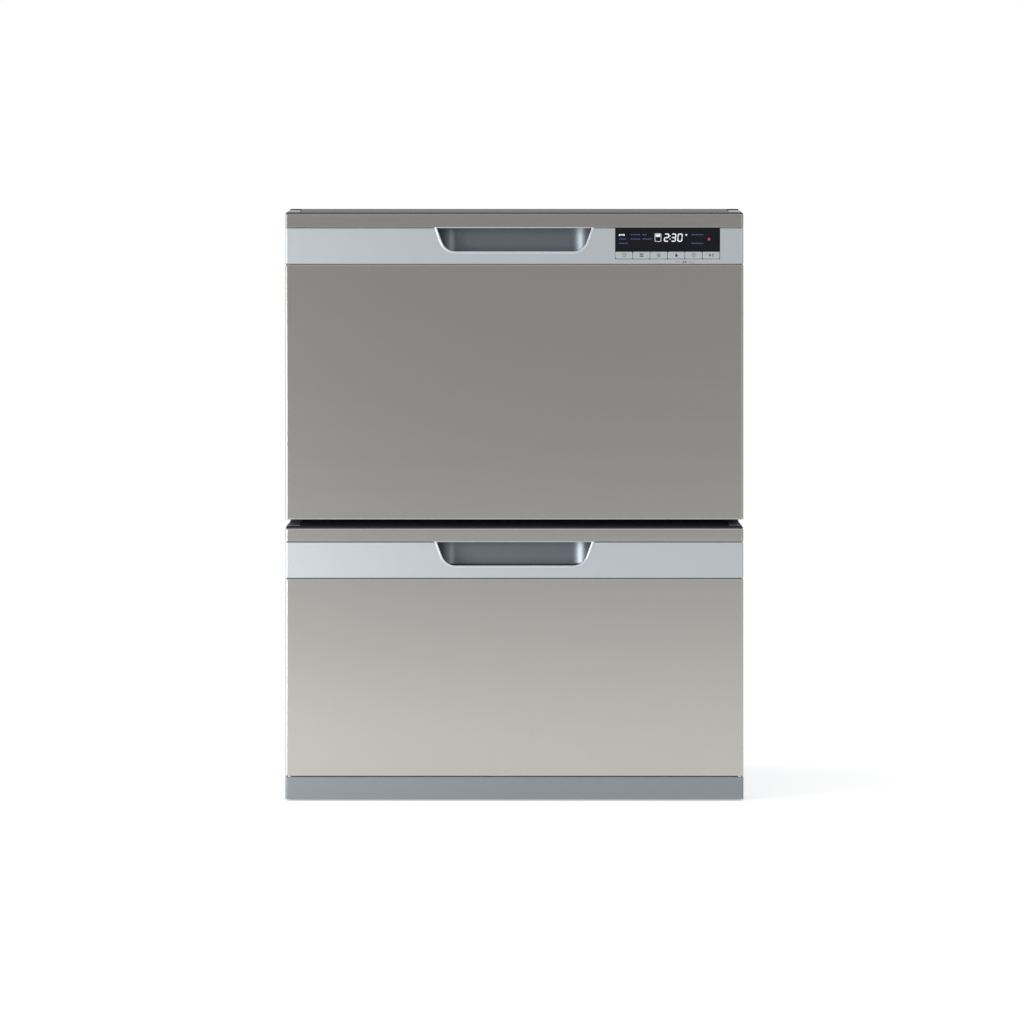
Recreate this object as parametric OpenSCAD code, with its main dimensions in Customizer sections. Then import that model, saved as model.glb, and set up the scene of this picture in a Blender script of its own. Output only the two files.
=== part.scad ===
// Double dishwasher drawer: two wash drawers, one above the other, in one steel chassis.
// Millimetres. X to the right, Y from the fronts to the back, Z up.
// The origin is on the floor, under the middle of the unit. Both drawers are shut.

/* [Overall] */
// Width of the drawer fronts
front_w = 598; // [596:0.5:600]
// Depth from the handle rims to the back panel
unit_d = 573; // [572:0.5:590]
// Width of the chassis behind the fronts
chassis_w = 590; // [590:0.5:592]
// Thickness of a drawer front, back to the tub
door_t = 38.5; // [36:0.5:40]
// Clear height under the kick strip
floor_gap = 2; // [1:0.5:4]
// Travel of a drawer
drawer_travel = 490; // [400:5:490]

/* [Front heights] */
// Kick strip with its seam
kick_h = 30.5; // [28:0.5:31]
// Lower steel panel with its seam
lower_panel_h = 258.5; // [255:0.5:262]
// Upper steel panel with its seam
upper_panel_h = 333.6; // [330:0.1:335]
// Handle strip with its seam
handle_h = 47.2; // [46:0.1:50]
// Steel strip above the handle strip
top_strip_h = 17.4; // [16:0.1:19]
// Rise of the sloping cap on top of a front
cap_rise = 10.4; // [8:0.1:10.6]
// Height between the top strip of the lower front and the upper front
front_gap = 11.4; // [11.2:0.1:13]
// Seam between two pieces of a front
seam = 1; // [0.5:0.1:1.5]

/* [Handle scoop] */
// Half of the scoop's width at its open top
scoop_half = 99.5; // [90:0.5:102]
// Height of the scoop below the top strip
scoop_h = 31; // [28:0.5:34]
// Depth of the scoop
scoop_d = 29; // [24:0.5:30]
// Lean of its two sides from the vertical, in degrees
scoop_lean = 21; // [10:1:25]
// Width of the bright rim round it
rim_w = 4.6; // [3:0.1:5]
// How far the rim stands proud
rim_proud = 1; // [0.5:0.1:1.5]

/* [Controls] */
// Left edge of the display window
window_x = 131.6; // [125:0.1:135]
// Width of the display window
window_w = 136.4; // [130:0.1:140]
// Height of the display window
window_h = 30.7; // [28:0.1:31]
// Height of a push button
button_h = 9; // [8:0.1:10]
// Number of push buttons
button_n = 6; // [6:1:6]
// Travel of a push button
button_travel = 1.2; // [0.8:0.1:1.5]

/* [Tub] */
// Half of the tub's width
tub_half = 281; // [281:0.5:281]
// Depth of the tub
tub_d = 462; // [450:1:462]
// Underside of the tub's floor
tub_floor_z = 108; // [106:1:110]
// Top of the tub's rim
tub_rim_z = 340; // [338:0.5:341]
// Wall of the tub
tub_wall = 3; // [2.5:0.5:3.5]
// Radius of its upright corners
tub_corner_r = 34; // [30:1:50]
// Radius of its bottom edges
tub_edge_r = 26; // [20:1:28]

/* [Rack] */
// Half of the rack's width
rack_half = 262; // [255:1:264]
// Height of the rack's bottom wires
rack_z = 146; // [146:0.5:148]
// Height of the rack's sides
rack_h = 90; // [80:1:95]
// Radius of a rack wire
wire_r = 1.6; // [1.4:0.1:1.8]
// Radius of the rim wire
rim_wire_r = 2.4; // [2:0.1:2.6]
// Height of a tine
tine_h = 72; // [60:1:75]
// Number of tines in a row
tine_n = 9; // [7:1:9]

/* [Hidden] */
$fn = 48;

sheet_t = 1;
fold_r = 3;
lip_d = 14;

// Heights of the fronts
lower_z0 = floor_gap + kick_h;
lower_handle_z = lower_z0 + lower_panel_h;
lower_top_z = lower_handle_z + handle_h + top_strip_h;
upper_z0 = lower_top_z + front_gap;
upper_handle_z = upper_z0 + upper_panel_h;
upper_top_z = upper_handle_z + handle_h + top_strip_h;
unit_h = upper_top_z + cap_rise;
pitch = upper_handle_z - lower_handle_z;

// Depths
face_y = -unit_d / 2 + rim_proud;
door_back_y = face_y + door_t;
skin_back_y = door_back_y - 1.5;
back_y = unit_d / 2;
chassis_y0 = door_back_y + 3;
chassis_in = chassis_w / 2 - sheet_t;
chassis_z0 = 14;

// Tub, sump and what stands in it
tub_y1 = door_back_y + tub_d;
tub_cy = (door_back_y + tub_y1) / 2;
floor_in_z = tub_floor_z + tub_wall;
sump_r = 88;
sump_z = 58;
sump_flange_r = 97;
dish_r = 200;
dish_drop = 8;
dish_z = tub_floor_z - dish_drop;
rib_d = 4;
rib_zs = [212, 254, 296];
filter_r = 204;
post_r = 9;
fit = 0.06;
arm_z = 118;
arm_r = 212;
pump_z = 80;
pump_x = 100;

// Lid and lifters
lid_gap = 6.2;
lid_z = tub_rim_z + lid_gap;
lid_t = 9.8;
lid_half = tub_half + 3;
lid_y0 = chassis_y0 + 1;
lid_y1 = tub_y1 + 3;
stem_r = 5;
stem_x = 200;
stem_ys = [-160, 140];
lifter_z = lid_z + lid_t + 0.9;
lifter_t = 8.1;
rail_beam_z = lifter_z + lifter_t;

// Slides
slide_z = 175;
slide_y0 = chassis_y0 + 4;
outer_rail_l = 500;
middle_rail_l = 490;
ball_r = 1.6;
ball_n = 10;

// Rack
rack_y0 = -212;
rack_y1 = 198;
hair = 0.01;
bend_r = 12;
cross_wire_n = 8;
cross_wire_y0 = -182;
cross_wire_pitch = 50;
long_wire_n = 7;
long_wire_pitch = 70;
long_wire_z = rack_z + 2 * wire_r + hair;
rim_z = rack_z + rack_h;
tine_rows = [-140, 0];
fold_row_x = 112;
tine_y0 = -170;
tine_pitch = 40;
tine_z0 = long_wire_z + wire_r + hair;
fold_rod_r = 2;
fold_rod_z = rack_z + wire_r + fold_rod_r + 0.4;

// Feet
foot_x = 262;
foot_ys = [-200, 262];
foot_stem_r = 5;
foot_stem_top = 92;
tray_z = chassis_z0 + sheet_t;
fittings_y = 238;

// ---------- plain shapes ----------

// Rectangle with round corners
module round_rect(x0, y0, x1, y1, r) {
    translate([x0 + r, y0]) square([x1 - x0 - 2 * r, y1 - y0]);
    translate([x0, y0 + r]) square([x1 - x0, y1 - y0 - 2 * r]);
    for (x = [x0 + r, x1 - r], y = [y0 + r, y1 - r]) translate([x, y]) circle(r);
}

// Plan of a front: square at the back, folded round at its two front corners
module plan_front(half, y0, y1, r) {
    translate([-half, y0 + r]) square([2 * half, y1 - y0 - r]);
    translate([-half + r, y0]) square([2 * (half - r), y1 - y0]);
    for (s = [-1, 1]) translate([s * (half - r), y0 + r]) circle(r);
}

// Upright section of a basin: round at its two bottom corners
module basin_section(a0, a1, z0, z1, r) {
    translate([a0, z0 + r]) square([a1 - a0, z1 - z0 - r]);
    translate([a0 + r, z0]) square([a1 - a0 - 2 * r, z1 - z0]);
    for (a = [a0 + r, a1 - r]) translate([a, z0 + r]) circle(r);
}

// An XZ outline pulled from y0 to y1
module along_y(y0, y1) translate([0, y1, 0]) rotate([90, 0, 0]) linear_extrude(y1 - y0) children();

// A YZ outline pulled from x0 to x1
module along_x(x0, x1) translate([x0, 0, 0]) rotate([90, 0, 90]) linear_extrude(x1 - x0) children();

// A box by its two corners
module box(a, b) translate(a) cube(b - a);

module both_sides() {
    children();
    mirror([1, 0, 0]) children();
}

module rod_x(x0, x1, r) translate([x0, 0, 0]) rotate([0, 90, 0]) cylinder(r = r, h = x1 - x0);
module rod_y(y0, y1, r) translate([0, y0, 0]) rotate([-90, 0, 0]) cylinder(r = r, h = y1 - y0);

// Quarter bend of wire in the XY plane, about the origin
module bend(radius, r) rotate_extrude(angle = 90) translate([radius, 0]) circle(r);

// Everything of one drawer: 0 is the lower one, 1 the upper one
module level(n) translate([0, 0, n * pitch]) children();

// ---------- fronts ----------

// Sheet metal pan, folded back at both sides and, where asked, at its top and bottom
module folded_skin(z0, h, top_lip, bottom_lip) {
    low = bottom_lip ? sheet_t : -1;
    high = top_lip ? sheet_t : -1;
    difference() {
        translate([0, 0, z0]) linear_extrude(h) plan_front(front_w / 2, face_y, skin_back_y, fold_r);
        translate([0, 0, z0 + low]) linear_extrude(h - low - high)
            plan_front(front_w / 2 - sheet_t, face_y + sheet_t, skin_back_y + 1, fold_r - sheet_t);
        box([-front_w / 2 + sheet_t, face_y + lip_d, z0 - 1], [front_w / 2 - sheet_t, door_back_y, z0 + h + 1]);
    }
}

module front_panel(z0, h) color("#a3a29e") folded_skin(z0, h - seam, false, true);

module top_strip(z) color("#85847f") folded_skin(z, top_strip_h, true, false);

// Scoop outline about the middle of its open top, grown by g
scoop_steps = 12;
function scoop_corner(g) = [
    for (i = [0 : scoop_steps]) let (a = -90 + i * (90 - scoop_lean) / scoop_steps, r = 14)
        [scoop_half - (scoop_h - r) * tan(scoop_lean) - r / cos(scoop_lean) + (r + g) * cos(a),
         -scoop_h + r + (r + g) * sin(a)]
];
function scoop_top(g) = scoop_half + g / cos(scoop_lean);
function mirrored(pts) = [for (i = [len(pts) - 1 : -1 : 0]) [-pts[i][0], pts[i][1]]];
function scoop_half_outline(g, rise) = concat(
    scoop_corner(g), [[scoop_top(g), 0]], rise > 0 ? [[scoop_top(g), rise]] : []
);
module scoop_outline(g, rise = 0)
    polygon(concat(scoop_half_outline(g, rise), mirrored(scoop_half_outline(g, rise))));

// Finger cup behind the handle strip: round at both ends in plan, open to the front
module scoop_body(g, y0, depth, rise) intersection() {
    along_y(y0, y0 + depth + 1) scoop_outline(g, rise);
    translate([0, 0, -scoop_h - 10]) linear_extrude(scoop_h + 30)
        round_rect(-scoop_half - g - 1, face_y - 40, scoop_half + g + 1, face_y + scoop_d + g, 24 + g);
}

module handle_scoop(z) color("#c3c8cb") translate([0, 0, z + handle_h]) difference() {
    union() {
        along_y(face_y - rim_proud, face_y) scoop_outline(rim_w);
        along_y(face_y, face_y + sheet_t) scoop_outline(2);
        scoop_body(2, face_y + sheet_t, scoop_d, 7);
    }
    scoop_body(0, face_y - rim_proud - 1, scoop_d + rim_proud, 0);
    scoop_body(0, face_y + sheet_t, scoop_d - 1, 5);
}

module handle_strip(z, controls = false) color("#b2babd") difference() {
    folded_skin(z, handle_h - seam, false, false);
    translate([0, 0, z + handle_h]) along_y(face_y - 1, face_y + 2) scoop_outline(2, 5);
    if (controls) box(
        [window_x - 0.3, face_y - 1, window_z - button_h - 0.9],
        [window_x + window_w + 0.3, face_y + 2, window_z + window_h + 0.2]);
}

// Wedge section of the cap, in YZ
module cap_section(z) polygon([
    [face_y + 1.2, z], [door_back_y, z], [door_back_y, z + cap_rise],
    [door_back_y - 3, z + cap_rise], [face_y + 1.2, z + 0.8]
]);

// Dark cap on top of a front, with a slanted end piece at each corner
module top_cap(z) {
    end_w = 20;
    color("#1d1d20") along_x(-front_w / 2 + end_w, front_w / 2 - end_w) cap_section(z);
    color("#2a2a2e") both_sides() intersection() {
        along_x(front_w / 2 - end_w + 0.3, front_w / 2 - 0.4) cap_section(z);
        along_y(face_y, door_back_y) polygon([
            [0, z], [front_w / 2 - 0.4, z], [front_w / 2 - 4.5, z + cap_rise], [0, z + cap_rise]
        ]);
    }
}

window_z = upper_handle_z + handle_h - seam - window_h + 0.5;
button_pitch = window_w / button_n;
button_z0 = window_z - button_h - 0.4;
button_stem_z = button_z0 + button_h / 2;
button_depth = 5;

function button_x(i) = window_x + (i - 0.5) * button_pitch;

// Moulded frame that carries the sheet metal of a front and screws to the tub
module front_frame(z0, panel_h, controls = false) {
    half = front_w / 2 - sheet_t;
    z1 = z0 + panel_h;
    zt = z1 + handle_h;
    front = face_y + sheet_t;
    wall = 4;
    columns = 5;
    rows = 3;
    cell_w = (2 * half - 2 * wall - (columns - 1) * 3) / columns;
    cell_h = (panel_h - seam - 2 * wall - (rows - 1) * 3) / rows;
    pocket = scoop_top(2) + 0.5;
    color("#3a3b3d") difference() {
        translate([0, 0, z0 + sheet_t]) linear_extrude(panel_h + handle_h + top_strip_h - 2 * sheet_t)
            plan_front(half, front, door_back_y, fold_r);
        // ribbed cells behind the steel panel
        for (i = [0 : columns - 1], j = [0 : rows - 1])
            translate([-half + wall + i * (cell_w + 3), front - 1, z0 + wall + j * (cell_h + 3)])
                cube([cell_w, door_t - 5, cell_h]);
        // pocket of the finger scoop
        box([-pocket, front - 1, zt - scoop_h - 2], [pocket, face_y + scoop_d + 2, zt + 7]);
        // cells beside it
        for (s = controls ? [-1] : [-1, 1], i = [0, 1]) {
            x = s * (pocket + 4 + i * 97);
            box([min(x, x + s * 93), front - 1, z1 + 3], [max(x, x + s * 93), door_back_y - 4, zt + 8]);
        }
        if (controls) {
            box([window_x - 3, front - 1, window_z - 0.4], [window_x + window_w + 3, face_y + 3.5, window_z + window_h + 1]);
            box([window_x - 3, front - 1, button_z0 - 2], [window_x + window_w + 3, face_y + 9, window_z - 0.4]);
            for (i = [1 : button_n]) translate([button_x(i), 0, button_stem_z])
                rod_y(face_y + 8, face_y + 20, 2 + fit);
        }
    }
}

// Dark window of the display, held by a flange behind the handle strip
module display_window() color("#1b1e22") {
    box([window_x, face_y, window_z], [window_x + window_w, face_y + sheet_t, window_z + window_h]);
    box([window_x - 2.5, face_y + sheet_t, window_z - 0.3],
        [window_x + window_w + 2.5, face_y + 3.5, window_z + window_h + 0.9]);
}

// Push button with its guide stem
module button(i) color("#c4ccd0") {
    w = button_pitch - 0.7;
    translate([button_x(i) - w / 2, 0, button_z0]) along_y(face_y - 0.3, face_y + button_depth)
        round_rect(0, 0, w, button_h, 0.8);
    translate([button_x(i), 0, button_stem_z]) rod_y(face_y + button_depth, face_y + 14, 2);
}

// ---------- tub and what it holds ----------

// Basin shape: round upright corners and round bottom edges; g is taken off every face
module basin(g, top) intersection() {
    translate([0, 0, tub_floor_z]) linear_extrude(top - tub_floor_z)
        round_rect(-tub_half + g, door_back_y + g, tub_half - g, tub_y1 - g, tub_corner_r - g);
    along_y(door_back_y - 1, tub_y1 + 1)
        basin_section(-tub_half + g, tub_half - g, tub_floor_z + g, top + 1, tub_edge_r - g);
    along_x(-tub_half - 1, tub_half + 1)
        basin_section(door_back_y + g, tub_y1 - g, tub_floor_z + g, top + 1, tub_edge_r - g);
}

// Band round the tub's outside, flush with its front: rim flange or stiffening rib
module tub_band(z, t, out) translate([0, 0, z]) linear_extrude(t)
    round_rect(-tub_half - out, door_back_y, tub_half + out, tub_y1 + out, tub_corner_r);

module tub_shell() difference() {
    union() {
        basin(0, tub_rim_z);
        tub_band(tub_rim_z - 4, 4, 6);
        for (z = rib_zs) tub_band(z, 2.5, rib_d);
        // shallow dish under the floor
        translate([0, tub_cy, dish_z]) cylinder(r1 = sump_r + 4, r2 = dish_r, h = dish_drop + 0.5);
    }
    difference() {
        basin(tub_wall, tub_rim_z + 1);
        // ledges that carry the rack
        for (s = [-1, 1], y = [-150, 130]) translate([s * (tub_half - 24), y, 0])
            box([-17, -8, 0], [17, 8, rack_z - wire_r - hair]);
    }
    translate([0, tub_cy, floor_in_z - dish_drop])
        cylinder(r1 = sump_r + 1, r2 = dish_r - 2, h = dish_drop + 0.1);
    translate([0, tub_cy, dish_z - 1]) cylinder(r = sump_r - tub_wall, h = dish_drop);
}

// Sump cup, flanged against the dish, with the boss that the wash pump is fixed to
module sump() translate([0, tub_cy, 0]) difference() {
    union() {
        translate([0, 0, sump_z]) cylinder(r = sump_r, h = dish_z - hair - sump_z);
        translate([0, 0, dish_z - hair - tub_wall]) cylinder(r = sump_flange_r, h = tub_wall);
        translate([0, 0, pump_z]) rod_x(sump_r - 8, pump_x, 17);
    }
    translate([0, 0, sump_z + tub_wall]) cylinder(r = sump_r - tub_wall, h = dish_z);
    translate([0, 0, pump_z]) rod_x(sump_r - 20, pump_x + 1, 12);
}

module tub() color("#d9dcdd") {
    tub_shell();
    sump();
}

// Perforated filter plate, its drain cup and the post that the spray arm turns on
module filter() color("#c9ccce") translate([0, tub_cy, 0]) {
    difference() {
        translate([0, 0, floor_in_z]) cylinder(r = filter_r, h = 2);
        translate([0, 0, floor_in_z - 1]) cylinder(r = 32, h = 4);
        for (ring_r = [54 : 27 : 189]) let (holes = round(2 * PI * ring_r / 24))
            for (i = [1 : holes]) rotate([0, 0, i * 360 / holes + ring_r])
                translate([ring_r, 0, floor_in_z - 1]) cylinder(r = 4, h = 4, $fn = 16);
    }
    difference() {
        translate([0, 0, 70]) cylinder(r = 34, h = floor_in_z + 2 - 70);
        translate([0, 0, 73]) cylinder(r = 32, h = floor_in_z);
    }
    translate([0, 0, 72]) cylinder(r = post_r, h = arm_z + 17 - 72);
    translate([0, 0, arm_z + 16.5]) cylinder(r1 = 15, r2 = 11, h = 5);
}

// Spray arm: two tapered blades with nozzles on a hub
module spray_arm() color("#8f9599") translate([0, tub_cy, 0]) difference() {
    union() {
        translate([0, 0, arm_z]) cylinder(r = 27, h = 16);
        for (turn = [0, 180]) rotate([0, 0, turn]) translate([0, 0, arm_z + 3]) linear_extrude(10) {
            polygon([[0, -24], [0, 24], [arm_r - 15, 13], [arm_r - 15, -13]]);
            translate([arm_r - 13, 0]) circle(13);
        }
        for (turn = [0, 180], x = [60 : 34 : 196]) rotate([0, 0, turn])
            translate([x, (x - 128) / 20, arm_z + 12]) cylinder(r1 = 6, r2 = 4, h = 3);
    }
    translate([0, 0, arm_z - 1]) cylinder(r = post_r + fit, h = 20);
    for (turn = [0, 180], x = [60 : 34 : 196]) rotate([0, 0, turn])
        translate([x, (x - 128) / 20, arm_z + 9]) cylinder(r = 2, h = 8);
}

// Wash pump: volute against the sump's boss, finned motor and terminal cover
module wash_pump() color("#4a4d50") translate([0, tub_cy, pump_z]) {
    rod_x(pump_x, pump_x + 22, 19.5);
    rod_x(pump_x + 22, pump_x + 92, 17);
    for (i = [0 : 6]) rod_x(pump_x + 28 + i * 9, pump_x + 31 + i * 9, 19);
    rod_x(pump_x + 92, pump_x + 98, 12);
    box([pump_x + 32, -13, -21], [pump_x + 76, 13, -13]);
}

// ---------- rack ----------

// Bottom wire of half-length a, bent up at both ends into posts of height h, in XZ
module tray_wire(a, h) {
    translate([0, 0, 0]) rod_x(-a + bend_r + hair, a - bend_r - hair, wire_r);
    both_sides() {
        translate([a - bend_r, 0, bend_r]) rotate([90, 0, 0]) rotate([0, 0, -90]) bend(bend_r, wire_r);
        translate([a, 0, bend_r + hair]) cylinder(r = wire_r, h = h - bend_r - hair);
    }
}

// Closed ring of wire round the rack
module ring_wire(half, y0, y1, corner, r) {
    cy = (y0 + y1) / 2;
    translate([0, cy, 0]) both_sides() {
        translate([half, 0, 0]) rod_y(y0 - cy + corner + hair, y1 - cy - corner - hair, r);
        for (turn = [0, 1]) mirror([0, turn, 0])
            translate([half - corner, (y1 - y0) / 2 - corner, 0]) bend(corner, r);
    }
    for (y = [y0, y1]) translate([0, y, 0]) rod_x(-half + corner + hair, half - corner - hair, r);
}

module rack() color("#8d9196") {
    // wires across
    for (i = [0 : cross_wire_n - 1])
        translate([0, cross_wire_y0 + i * cross_wire_pitch, rack_z])
            tray_wire(rack_half, rack_h - rim_wire_r - hair);
    // wires from front to back
    for (i = [0 : long_wire_n - 1])
        translate([(i - (long_wire_n - 1) / 2) * long_wire_pitch, (rack_y0 + rack_y1) / 2, long_wire_z])
            rotate([0, 0, 90]) tray_wire((rack_y1 - rack_y0) / 2, rim_z - long_wire_z - rim_wire_r - hair);
    translate([0, 0, rim_z]) ring_wire(rack_half, rack_y0, rack_y1, 22, rim_wire_r);
    translate([0, 0, rack_z + 46])
        ring_wire(rack_half + 2 * wire_r + hair, rack_y0 - 2 * wire_r - hair, rack_y1 + 2 * wire_r + hair, 24, wire_r);
    // fixed tines
    for (x = tine_rows, i = [0 : tine_n - 1])
        translate([x, tine_y0 + i * tine_pitch, tine_z0]) cylinder(r = wire_r, h = tine_h);
    // clips of the folding row
    for (i = [0, cross_wire_n - 1]) translate([fold_row_x, cross_wire_y0 + i * cross_wire_pitch, 0])
        difference() {
            box([-6, -4, rack_z + wire_r + hair], [6, 4, fold_rod_z + 5]);
            translate([0, 0, fold_rod_z]) rod_y(-5, 5, fold_rod_r + fit);
        }
}

// Row of tines that folds flat
module folding_tines() color("#6f757b") translate([fold_row_x, 0, fold_rod_z]) {
    rod_y(cross_wire_y0 - 9, cross_wire_y0 + (cross_wire_n - 1) * cross_wire_pitch + 9, fold_rod_r);
    for (i = [0 : tine_n - 1]) translate([0, tine_y0 + i * tine_pitch, fold_rod_r + hair])
        cylinder(r = wire_r, h = tine_h);
}

// Slatted shelf for cups that hinges on the rack's rim wire
shelf_y = -7;
shelf_l = 166;
shelf_w = 88;
module cup_shelf() color("#737a80") translate([rack_half, shelf_y, rim_z]) {
    difference() {
        union() {
            box([-shelf_w, -shelf_l / 2, -1.5], [-4, shelf_l / 2, 1.5]);
            for (y = [-50, 50]) translate([0, y, 0]) rod_y(-7, 7, 5.5);
        }
        for (y = [-50, 50]) translate([0, y, 0]) rod_y(-8, 8, rim_wire_r + fit);
        for (i = [0 : 6], j = [0, 1])
            translate([-shelf_w + 7 + j * 36, -shelf_l / 2 + 9 + i * 22, -2]) cube([30, 15, 4]);
    }
}

// Slotted basket for cutlery with two compartments and a grip
basket_x0 = -250;
basket_w = 84;
basket_y0 = -120;
basket_l = 210;
basket_h = 100;
module cutlery_basket() color("#737a80") translate([basket_x0, basket_y0, tine_z0]) difference() {
    union() {
        linear_extrude(basket_h) round_rect(0, 0, basket_w, basket_l, 12);
        box([8, basket_l / 2 - 2, basket_h - 2], [basket_w - 8, basket_l / 2 + 2, basket_h + 26]);
    }
    for (j = [0, 1]) translate([0, j * basket_l / 2, 3]) linear_extrude(basket_h)
        round_rect(3, j == 0 ? 3 : 2, basket_w - 3, basket_l / 2 - (j == 0 ? 2 : 3), 9);
    box([20, 0, basket_h + 6], [basket_w - 20, basket_l, basket_h + 20]);
    for (i = [0 : 7], k = [0, 1]) box(
        [-1, 16 + i * 24 + (i > 3 ? 3 : 0), 12 + k * 42],
        [basket_w + 1, 26 + i * 24 + (i > 3 ? 3 : 0), 46 + k * 42]);
}

// Detergent dispenser on the tub's front wall
disp_z = 252;
disp_y = door_back_y + tub_wall;
disp_t = 20;
flap_pin_y = disp_y + disp_t + 5.5;
flap_pin_z = disp_z + 2;
module dispenser() color("#b9bec1") difference() {
    union() {
        translate([0, 0, 0]) along_y(disp_y, disp_y + disp_t) round_rect(-75, disp_z, 75, disp_z + 70, 8);
        for (x = [-76, 28]) box([x, disp_y + disp_t - 2, disp_z - 2], [x + 8, disp_y + disp_t + 9, disp_z + 6]);
        translate([54, 0, disp_z + 40]) rod_y(disp_y, disp_y + disp_t + 4, 13);
    }
    box([-60, disp_y + 4, disp_z + 10], [20, disp_y + disp_t + 1, disp_z + 60]);
    box([44, disp_y + disp_t + 1, disp_z + 38], [64, disp_y + disp_t + 5, disp_z + 42]);
    translate([0, flap_pin_y, flap_pin_z]) rod_x(-77, 37, 1.5 + fit);
}

module dispenser_flap() color("#9aa1a6") {
    box([-64, disp_y + disp_t + 0.4, disp_z + 6], [24, disp_y + disp_t + 3, disp_z + 64]);
    box([-64, disp_y + disp_t + 0.4, flap_pin_z - 1.4], [24, flap_pin_y, disp_z + 7]);
    translate([0, flap_pin_y, flap_pin_z]) rod_x(-76, 36, 1.5);
    box([-30, disp_y + disp_t + 3, disp_z + 55], [-10, disp_y + disp_t + 7, disp_z + 61]);
}

// ---------- slides ----------

// C-section member with its web outwards, in XZ: web from x1 - t to x1
module slide_section(x0, x1, half, t, lip) {
    translate([x1 - t, -half]) square([t, 2 * half]);
    for (s = [-1, 1]) {
        translate([x0, s > 0 ? half - t : -half]) square([x1 - x0, t]);
        if (lip > 0) translate([x0, s > 0 ? half - lip : -half]) square([t, lip]);
    }
}

module outer_rails() color("#b0b4b8") for (n = [0, 1]) level(n) both_sides()
    translate([0, 0, slide_z]) along_y(slide_y0, slide_y0 + outer_rail_l)
        slide_section(chassis_in - 10, chassis_in, 22.5, 1.4, 4);

module middle_rails() color("#c0c4c8") both_sides() translate([0, 0, slide_z]) {
    along_y(slide_y0, slide_y0 + middle_rail_l) slide_section(chassis_in - 11, chassis_in - 3, 17.6, 1.4, 0);
    for (s = [-1, 1], i = [0 : ball_n - 1])
        translate([chassis_in - 6, slide_y0 + 14 + i * 24, s * (17.5 + ball_r)]) sphere(ball_r);
}

module inner_rails() color("#c0c4c8") both_sides() translate([0, 0, slide_z])
    along_y(door_back_y + 0.1, tub_y1 - 2) mirror([1, 0]) translate([-2 * tub_half, 0])
        slide_section(tub_half - 7.6, tub_half, 12.5, 1.4, 0);

// ---------- lid ----------

// Outline of the lid, drawn in by g
module lid_plan(g)
    round_rect(-lid_half + g, lid_y0 + g, lid_half - g, lid_y1 - g, tub_corner_r - g);

module lid_ring(z, t, outer, inner) translate([0, 0, z]) linear_extrude(t) difference() {
    lid_plan(outer);
    lid_plan(inner);
}

module lid() {
    color("#c9cdcf") {
        difference() {
            translate([0, 0, lid_z]) linear_extrude(5) lid_plan(0);
            translate([0, 0, lid_z - 1]) linear_extrude(3) lid_plan(9);
            lid_ring(lid_z - 1, 3, 2.5, 6.5);
        }
        for (x = [-140, 0, 140]) box([x - 2, lid_y0 + 12, lid_z + 4], [x + 2, lid_y1 - 12, lid_z + lid_t]);
        for (y = [-100, 60])
            box([-lid_half + 16, y - 2, lid_z + 4], [lid_half - 16, y + 2, lid_z + lid_t]);
        for (x = [-stem_x, stem_x], y = stem_ys)
            translate([x, y, lid_z + 4]) cylinder(r = stem_r, h = lifter_t + lid_t - 4 + 0.7);
    }
    // gasket in its groove
    color("#4a4d50") lid_ring(lid_z - 1, 3 - hair, 2.5 + hair, 6.5 - hair);
}

// Blocks that guide and drive the lids
module lid_lifters() color("#55595d") for (n = [0, 1]) level(n)
    for (x = [-stem_x, stem_x], y = stem_ys) difference() {
        box([x - 22, y - 16, lifter_z], [x + 22, y + 16, lifter_z + lifter_t]);
        translate([x, y, lifter_z - 1]) cylinder(r = stem_r + fit, h = lifter_t + 2);
    }

// ---------- chassis ----------

// Outline of a pressed bead of length l and width w, grown by g
module bead_outline(l, w, g) {
    square([l - w, w + 2 * g], center = true);
    for (s = [-1, 1]) translate([s * (l - w) / 2, 0]) circle(w / 2 + g);
}

// Sheet wall in XY, 0 to sheet_t, with beads pressed down into it by depth
module beaded_sheet(size, places, l, w, depth) difference() {
    union() {
        cube([size[0], size[1], sheet_t]);
        for (p = places) translate([p[0], p[1], -depth]) linear_extrude(depth + sheet_t / 2)
            bead_outline(l, w, sheet_t);
    }
    for (p = places) translate([p[0], p[1], sheet_t - depth]) linear_extrude(depth + 1) bead_outline(l, w, 0);
}

bead_zs = [70, 128, 262, 322, 440, 500, 660, 722];
module side_panels() color("#a9adb0") both_sides() {
    top = unit_h - sheet_t;
    depth = back_y - sheet_t - chassis_y0;
    translate([chassis_in, chassis_y0, chassis_z0]) rotate([90, 0, 90])
        beaded_sheet([depth, top - chassis_z0], [for (z = bead_zs) [depth / 2, z - chassis_z0]], 430, 22, 2);
    // hem at the front, flanges at the back, the top and the bottom
    box([chassis_in - 2, chassis_y0, chassis_z0], [chassis_in + 0.5, chassis_y0 + 2, top]);
    box([chassis_in - 12, back_y - 2 * sheet_t, chassis_z0 + 110], [chassis_in + 0.5, back_y - sheet_t, top]);
    box([chassis_in - 12, chassis_y0 + 40, top - sheet_t], [chassis_in + 0.5, back_y - 3, top]);
    box([chassis_in - 20, chassis_y0 + 4, chassis_z0], [chassis_in + 0.5, back_y - 3, chassis_z0 + sheet_t]);
}

module back_panel() color("#a9adb0") {
    z0 = chassis_z0 + 110;
    h = unit_h - sheet_t - z0;
    translate([-chassis_w / 2, back_y - sheet_t, z0]) rotate([0, -90, -90])
        beaded_sheet([h, chassis_w], [for (x = [-195, -65, 65, 195]) [h / 2, chassis_w / 2 + x]], 480, 26, 3);
    box([-chassis_in + 14, back_y - 12, z0], [chassis_in - 14, back_y - 0.5, z0 + sheet_t]);
}

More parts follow.
